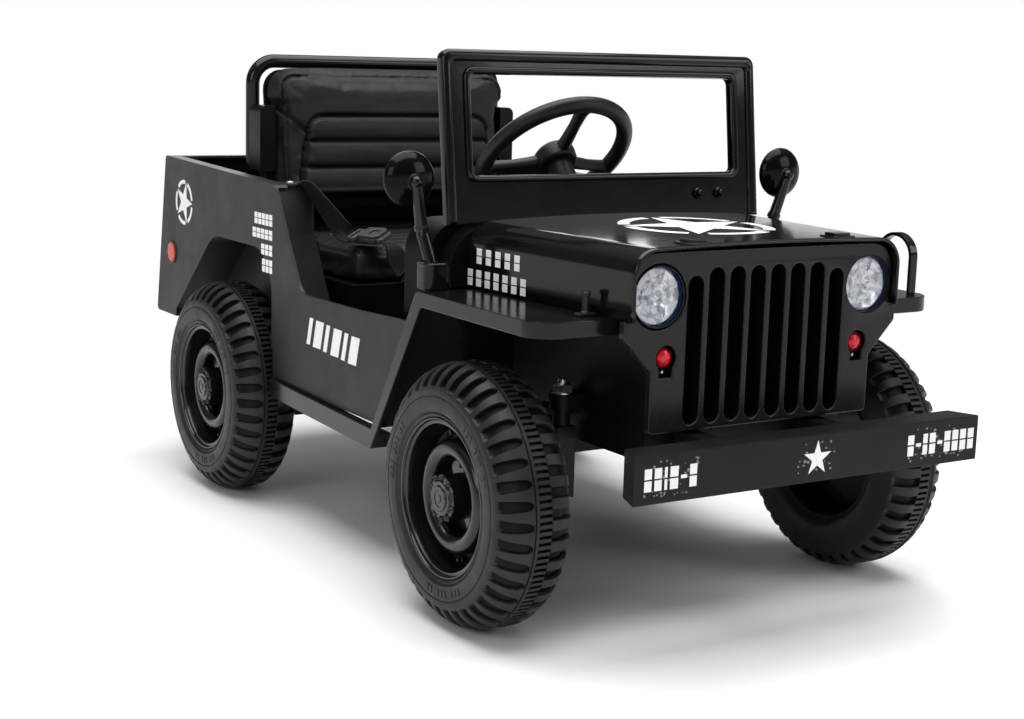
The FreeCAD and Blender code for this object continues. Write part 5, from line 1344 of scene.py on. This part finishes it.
def simulate_pad(name, mesh, cap, pinned):
    """A swollen pad: a rounded block remeshed, puffed with cloth pressure and capped."""
    mesh.transform(Matrix.Scale(SCALE, 4))
    thing = link(bpy.data.objects.new(name, mesh))

    def evaluated():
        graph = bpy.context.evaluated_depsgraph_get()
        return bpy.data.meshes.new_from_object(thing.evaluated_get(graph))

    remesh = thing.modifiers.new("even", "REMESH")
    remesh.mode = "VOXEL"
    remesh.voxel_size = PAD_VOXEL
    bpy.context.view_layer.update()
    even = evaluated()
    thing.modifiers.clear()
    thing.data = even
    bpy.data.meshes.remove(mesh)
    rest = [vert.co.copy() for vert in even.vertices]
    hold = thing.vertex_groups.new(name="hold")
    held = [vert.index for vert in even.vertices if pinned(vert.co / SCALE)]
    hold.add(held, 1, "REPLACE")
    cloth = thing.modifiers.new("puff", "CLOTH")
    for key, value in (("quality", 6), ("mass", 0.3), ("tension_stiffness", 12),
                       ("compression_stiffness", 12), ("bending_stiffness", 1.2),
                       ("use_pressure", True), ("uniform_pressure_force", 4),
                       ("vertex_group_mass", "hold")):
        setattr(cloth.settings, key, value)
    cloth.settings.effector_weights.gravity = 0
    cloth.collision_settings.use_collision = False
    cloth.point_cache.frame_start = 1
    cloth.point_cache.frame_end = CLOTH_FRAMES
    for number in range(1, CLOTH_FRAMES + 1):
        bpy.context.scene.frame_set(number)
    puffed = evaluated()
    thing.modifiers.clear()
    for vert, start in zip(puffed.vertices, rest):
        move = vert.co - start
        if move.length > cap * SCALE:
            vert.co = start + move.normalized() * cap * SCALE
    thing.data = puffed
    bpy.context.scene.frame_set(1)
    thing.modifiers.new("finer", "SUBSURF").levels = 1
    bpy.context.view_layer.update()
    final = evaluated()
    bpy.data.objects.remove(thing)
    return final


def back_lean(z):
    """Where the backrest's rear face is at a height."""
    return 321.7 + (348.7 - 321.7) * (z - 290) / (537 - 290)


def line_gap(a, b, line):
    """The shortest distance from a point to a broken line."""
    spot = Vector((a, b))
    best = 1e9
    for start, end in zip(line, line[1:]):
        start, end = Vector(start), Vector(end)
        run = end - start
        share = min(1, max(0, (spot - start).dot(run) / run.length_squared))
        best = min(best, (spot - start - run * share).length)
    return best


def panel_half(z):
    """Half the width of the backrest's ribbed panel at a height."""
    if z < BACK_CORNER:
        return BACK_HALF + 13 * (BACK_CORNER - z) / 75
    share = min(1.0, (z - BACK_CORNER) / (BACK_SEAMS[-1] - BACK_CORNER))
    return BACK_HALF - 24 * (1 - sqrt(max(0.0, 1 - share ** 2.8)))


def make_back_cushion():
    outline = rounded([(-166, 331, 10), (166, 331, 10), (166, 534.5, 28), (-166, 534.5, 28)], 8)
    mesh = plate([outline], "xz", 281, 318.5, 6.5, 4)
    mesh = simulate_pad("back_pad", mesh, 8, lambda co: co.y > 314)
    panel = [(panel_half(z), z)
             for z in (377, 400, 430, BACK_CORNER, 458, 464, 469, 472.5, 474.6, 475.6)]
    panel.append((0, BACK_SEAMS[-1]))
    for vert in mesh.vertices:
        x, y, z = vert.co / SCALE
        front = step_between(-y, -308, -294)
        half = panel_half(z) if z < BACK_SEAMS[-1] else 0
        sunk, raised = 6.6 * bell(line_gap(abs(x), z, panel), 2.3), 0
        if abs(x) < half and z > BACK_SEAMS[0]:
            for low, high in zip(BACK_SEAMS, BACK_SEAMS[1:]):
                if low <= z <= high:
                    raised += 5 * (sin(pi * (z - low) / (high - low)) ** 0.6) - 0.6
            for seam in BACK_SEAMS[1:-1]:
                sunk += 4.4 * bell(z - seam, 2)
        sunk += 5.2 * bell(line_gap(abs(x), z, [(BACK_HALF, BACK_CORNER), (170, 488)]), 2.1)
        if abs(x) < half + 2:
            sunk += 12 * step_between(-z, -BACK_SEAMS[0], -(BACK_SEAMS[0] - 7))
            raised += 2.6 * bell(z - BACK_SEAMS[0] - 2, 3)
        inward = min(PAD_SIDE - abs(x), PAD_TOP - z)
        past_side, past_top = abs(x) - (PAD_SIDE - PAD_ROUND), z - (PAD_TOP - PAD_ROUND)
        if past_top > 0 and past_side > 0:
            inward = PAD_ROUND - hypot(past_side, past_top)
        sunk += 5.2 * bell(inward - 11, 1.9)
        gather = noise.noise(Vector((x / 6, z / 6, 2.2))) * 1.8
        raised += gather * (1 - step_between(inward, 8, 12))
        wrinkle = noise.noise(Vector((x / 46, z / 20, 3.7))) * 0.7
        wrinkle += noise.noise(Vector((x / 14, z / 11, 9.1))) * 0.25
        y += front * (sunk - raised - wrinkle)
        y += back_lean(z) - 317 - 0.5
        x = max(-168.8, min(168.8, x)) * (1 + 0.034 * step_between(z, 488, 500))
        vert.co = Vector((x, y, min(z, 536.8))) * SCALE
    mesh.materials.append(MATERIALS["leather"])
    # The pad's lower face under the ribbed panel gets painted shade, a near-black for the shadow there
    mesh.materials.append(MATERIALS["deep_shadow"])
    for polygon in mesh.polygons:
        middle = polygon.center / SCALE
        if middle.z < BACK_SEAMS[0] - 4 and middle.y < 318 and abs(middle.x) < 146:
            polygon.material_index = 1
    thing = add_object("back_pad", mesh, CAR, ("back_cushion",), radians(80))
    # The piping along the lowest seam: real, and lighter than the leather as a painted highlight on its lit
    # fold
    welt = [(x * 0.98, back_lean(378) - 42.6 + 0.4 * cos(x / 17), 377.6 + 0.3 * 1.2 * sin(x / 23))
            for x in range(-150, 151, 6)]
    Build().add(tube(welt, 1.5, 10), "thread").piece("back_pad_welt", CAR, "seat_leather")


def make_seat_cushion():
    mesh = block((-163, 97, 287), (163, 317, 321), 12, 4)
    mesh = simulate_pad("seat_pad", mesh, 6, lambda co: co.z < 289)
    for vert in mesh.vertices:
        x, y, z = vert.co / SCALE
        sunk = 5.2 * bell(abs(x) - SEAT_PANEL, 2.7) * step_between(y, 108, 112)
        if abs(x) < SEAT_PANEL:
            for line in range(6):
                sunk += 4.6 * bell(y - (SEAT_LINE + line * SEAT_PITCH), 2.6)
            sunk -= 2.8 * abs(sin(pi * (y - SEAT_LINE) / SEAT_PITCH)) ** 0.7
        else:
            sunk -= 2
        inward = min(167 - abs(x), y - 93)
        sunk += 3 * bell(inward - 13, 2.4)
        wrinkle = noise.noise(Vector((x / 30, y / 14, 5.3)))
        wrinkle += noise.noise(Vector((x / 9, y / 9, 1.3))) * 0.5
        z += step_between(z, 306, 318) * (-sunk - wrinkle)
        y -= 1.2 * noise.noise(Vector((x / 9, z / 12, 8.8))) * (1 - step_between(y, 96, 112))
        vert.co = Vector((max(-166.8, min(166.8, x)), max(92.2, y), min(z, 326.2))) * SCALE
    mesh.materials.append(MATERIALS["leather"])
    thing = add_object("seat_pad", mesh, CAR, ("seat_cushion",), radians(80))


make_back_cushion()
make_seat_cushion()


# Camera, light and floor

def make_camera():
    """The photograph's camera, fitted to pairs of points that lie symmetrically on the car."""
    yaw, pitch, roll = (radians(value) for value in (32.2415, 10.2538, 1.6741))
    ahead = Vector((sin(yaw) * cos(pitch), cos(yaw) * cos(pitch),
                    -sin(pitch)))
    level = ahead.cross(Vector((0, 0, 1))).normalized()
    above = level.cross(ahead)
    right = level * cos(roll) + above * sin(roll)
    up = -level * sin(roll) + above * cos(roll)
    data = bpy.data.cameras.new("photo_camera")
    data.sensor_width = 36
    data.sensor_fit = "HORIZONTAL"
    data.lens = 60.346
    data.clip_start = 0.05
    data.clip_end = 60
    camera = link(bpy.data.objects.new("photo_camera", data))
    turn = Matrix((right, up, -ahead)).transposed().to_4x4()
    camera.matrix_world = shift(-1.09318, -1.73322, 0.56754) @ turn
    bpy.context.scene.camera = camera


def area(name, place, target, size, power):
    data = bpy.data.lights.new(name, "AREA")
    data.shape = "RECTANGLE"
    data.size, data.size_y = size
    data.energy = power
    lamp = link(bpy.data.objects.new(name, data))
    lamp.location = place
    lamp.rotation_euler = (Vector(target) - Vector(place)).to_track_quat("-Z", "Y").to_euler()


def whiten_far(skin, near, far):
    """Turns the floor plain white away from the car, for seen, glossy and clear rays alike."""
    length = skin.node("VectorMath", operation="LENGTH")
    skin.link(skin.node("TexCoord").outputs["Object"], length.inputs[0])
    reach = skin.node("MapRange", interpolation_type="SMOOTHSTEP")
    reach.inputs["From Min"].default_value = near
    reach.inputs["From Max"].default_value = far
    skin.link(length.outputs["Value"], reach.inputs["Value"])
    rays = skin.node("LightPath").outputs
    seen = rays["Is Camera Ray"]
    for operation, other in (("MAXIMUM", rays["Is Glossy Ray"]), ("MAXIMUM", rays["Is Transmission Ray"]),
                             ("MULTIPLY", reach.outputs["Result"])):
        joined = skin.node("Math", operation=operation)
        skin.link(seen, joined.inputs[0])
        skin.link(other, joined.inputs[1])
        seen = joined.outputs[0]
    mix = skin.node("MixShader")
    skin.link(seen, mix.inputs["Fac"])
    skin.link(skin.shader.outputs["BSDF"], mix.inputs[1])
    skin.link(skin.node("Emission").outputs["Emission"], mix.inputs[2])
    skin.link(mix.outputs["Shader"], skin.output.inputs["Surface"])


def make_world():
    """Light from around: white up to just above the horizon, dark above it, paler at the top."""
    world = bpy.data.worlds.new("studio")
    bpy.context.scene.world = world
    world.use_nodes = True
    tree = world.node_tree
    tree.nodes.clear()
    output, background, coords, split, shade = (
        tree.nodes.new("ShaderNode" + kind)
        for kind in ("OutputWorld", "Background", "TexCoord", "SeparateXYZ", "ValToRGB"))
    stops = shade.color_ramp
    stops.elements[0].position, stops.elements[1].position = 0, 1
    stops.elements[0].color, stops.elements[1].color = grey(1), grey(0.45)
    for position, value in ((0.06, 1), (0.12, 0.14), (0.5, 0.12), (0.8, 0.45)):
        stops.elements.new(position).color = grey(value)
    tree.links.new(coords.outputs["Generated"], split.inputs["Vector"])
    tree.links.new(split.outputs["Z"], shade.inputs["Fac"])
    tree.links.new(shade.outputs["Color"], background.inputs["Color"])
    tree.links.new(background.outputs["Background"], output.inputs["Surface"])


def make_studio():
    make_world()
    area("overhead", (0, -0.1, 2.4), (0, 0, 0.2), (2.6, 2.6), 90)
    area("front_left", (1.9, -2.3, 1.6), (0, -0.2, 0.25), (1.4, 1.2), 18)
    area("front_right", (-2.4, -1.4, 1.5), (0, 0, 0.25), (1.4, 1.2), 15)
    area("rear", (0.9, 2.4, 1.2), (0, 0.2, 0.3), (1.8, 1), 13)

    floor_mesh = from_data([(-30, -30, 0), (30, -30, 0), (30, 30, 0), (-30, 30, 0)], [(0, 1, 2, 3)])
    skin = Surface("floor_pale")
    skin.vary("Base Color", skin.noise(2), 0.3, 0.7, 0.93, 0.95)
    whiten_far(skin, 0.8, 1.7)
    floor_mesh.materials.append(skin.done({"Roughness": 0.9, SPECULAR: 0}))
    floor = link(bpy.data.objects.new("floor", floor_mesh))


make_camera()
make_studio()
bpy.context.scene.view_settings.view_transform = "Standard"
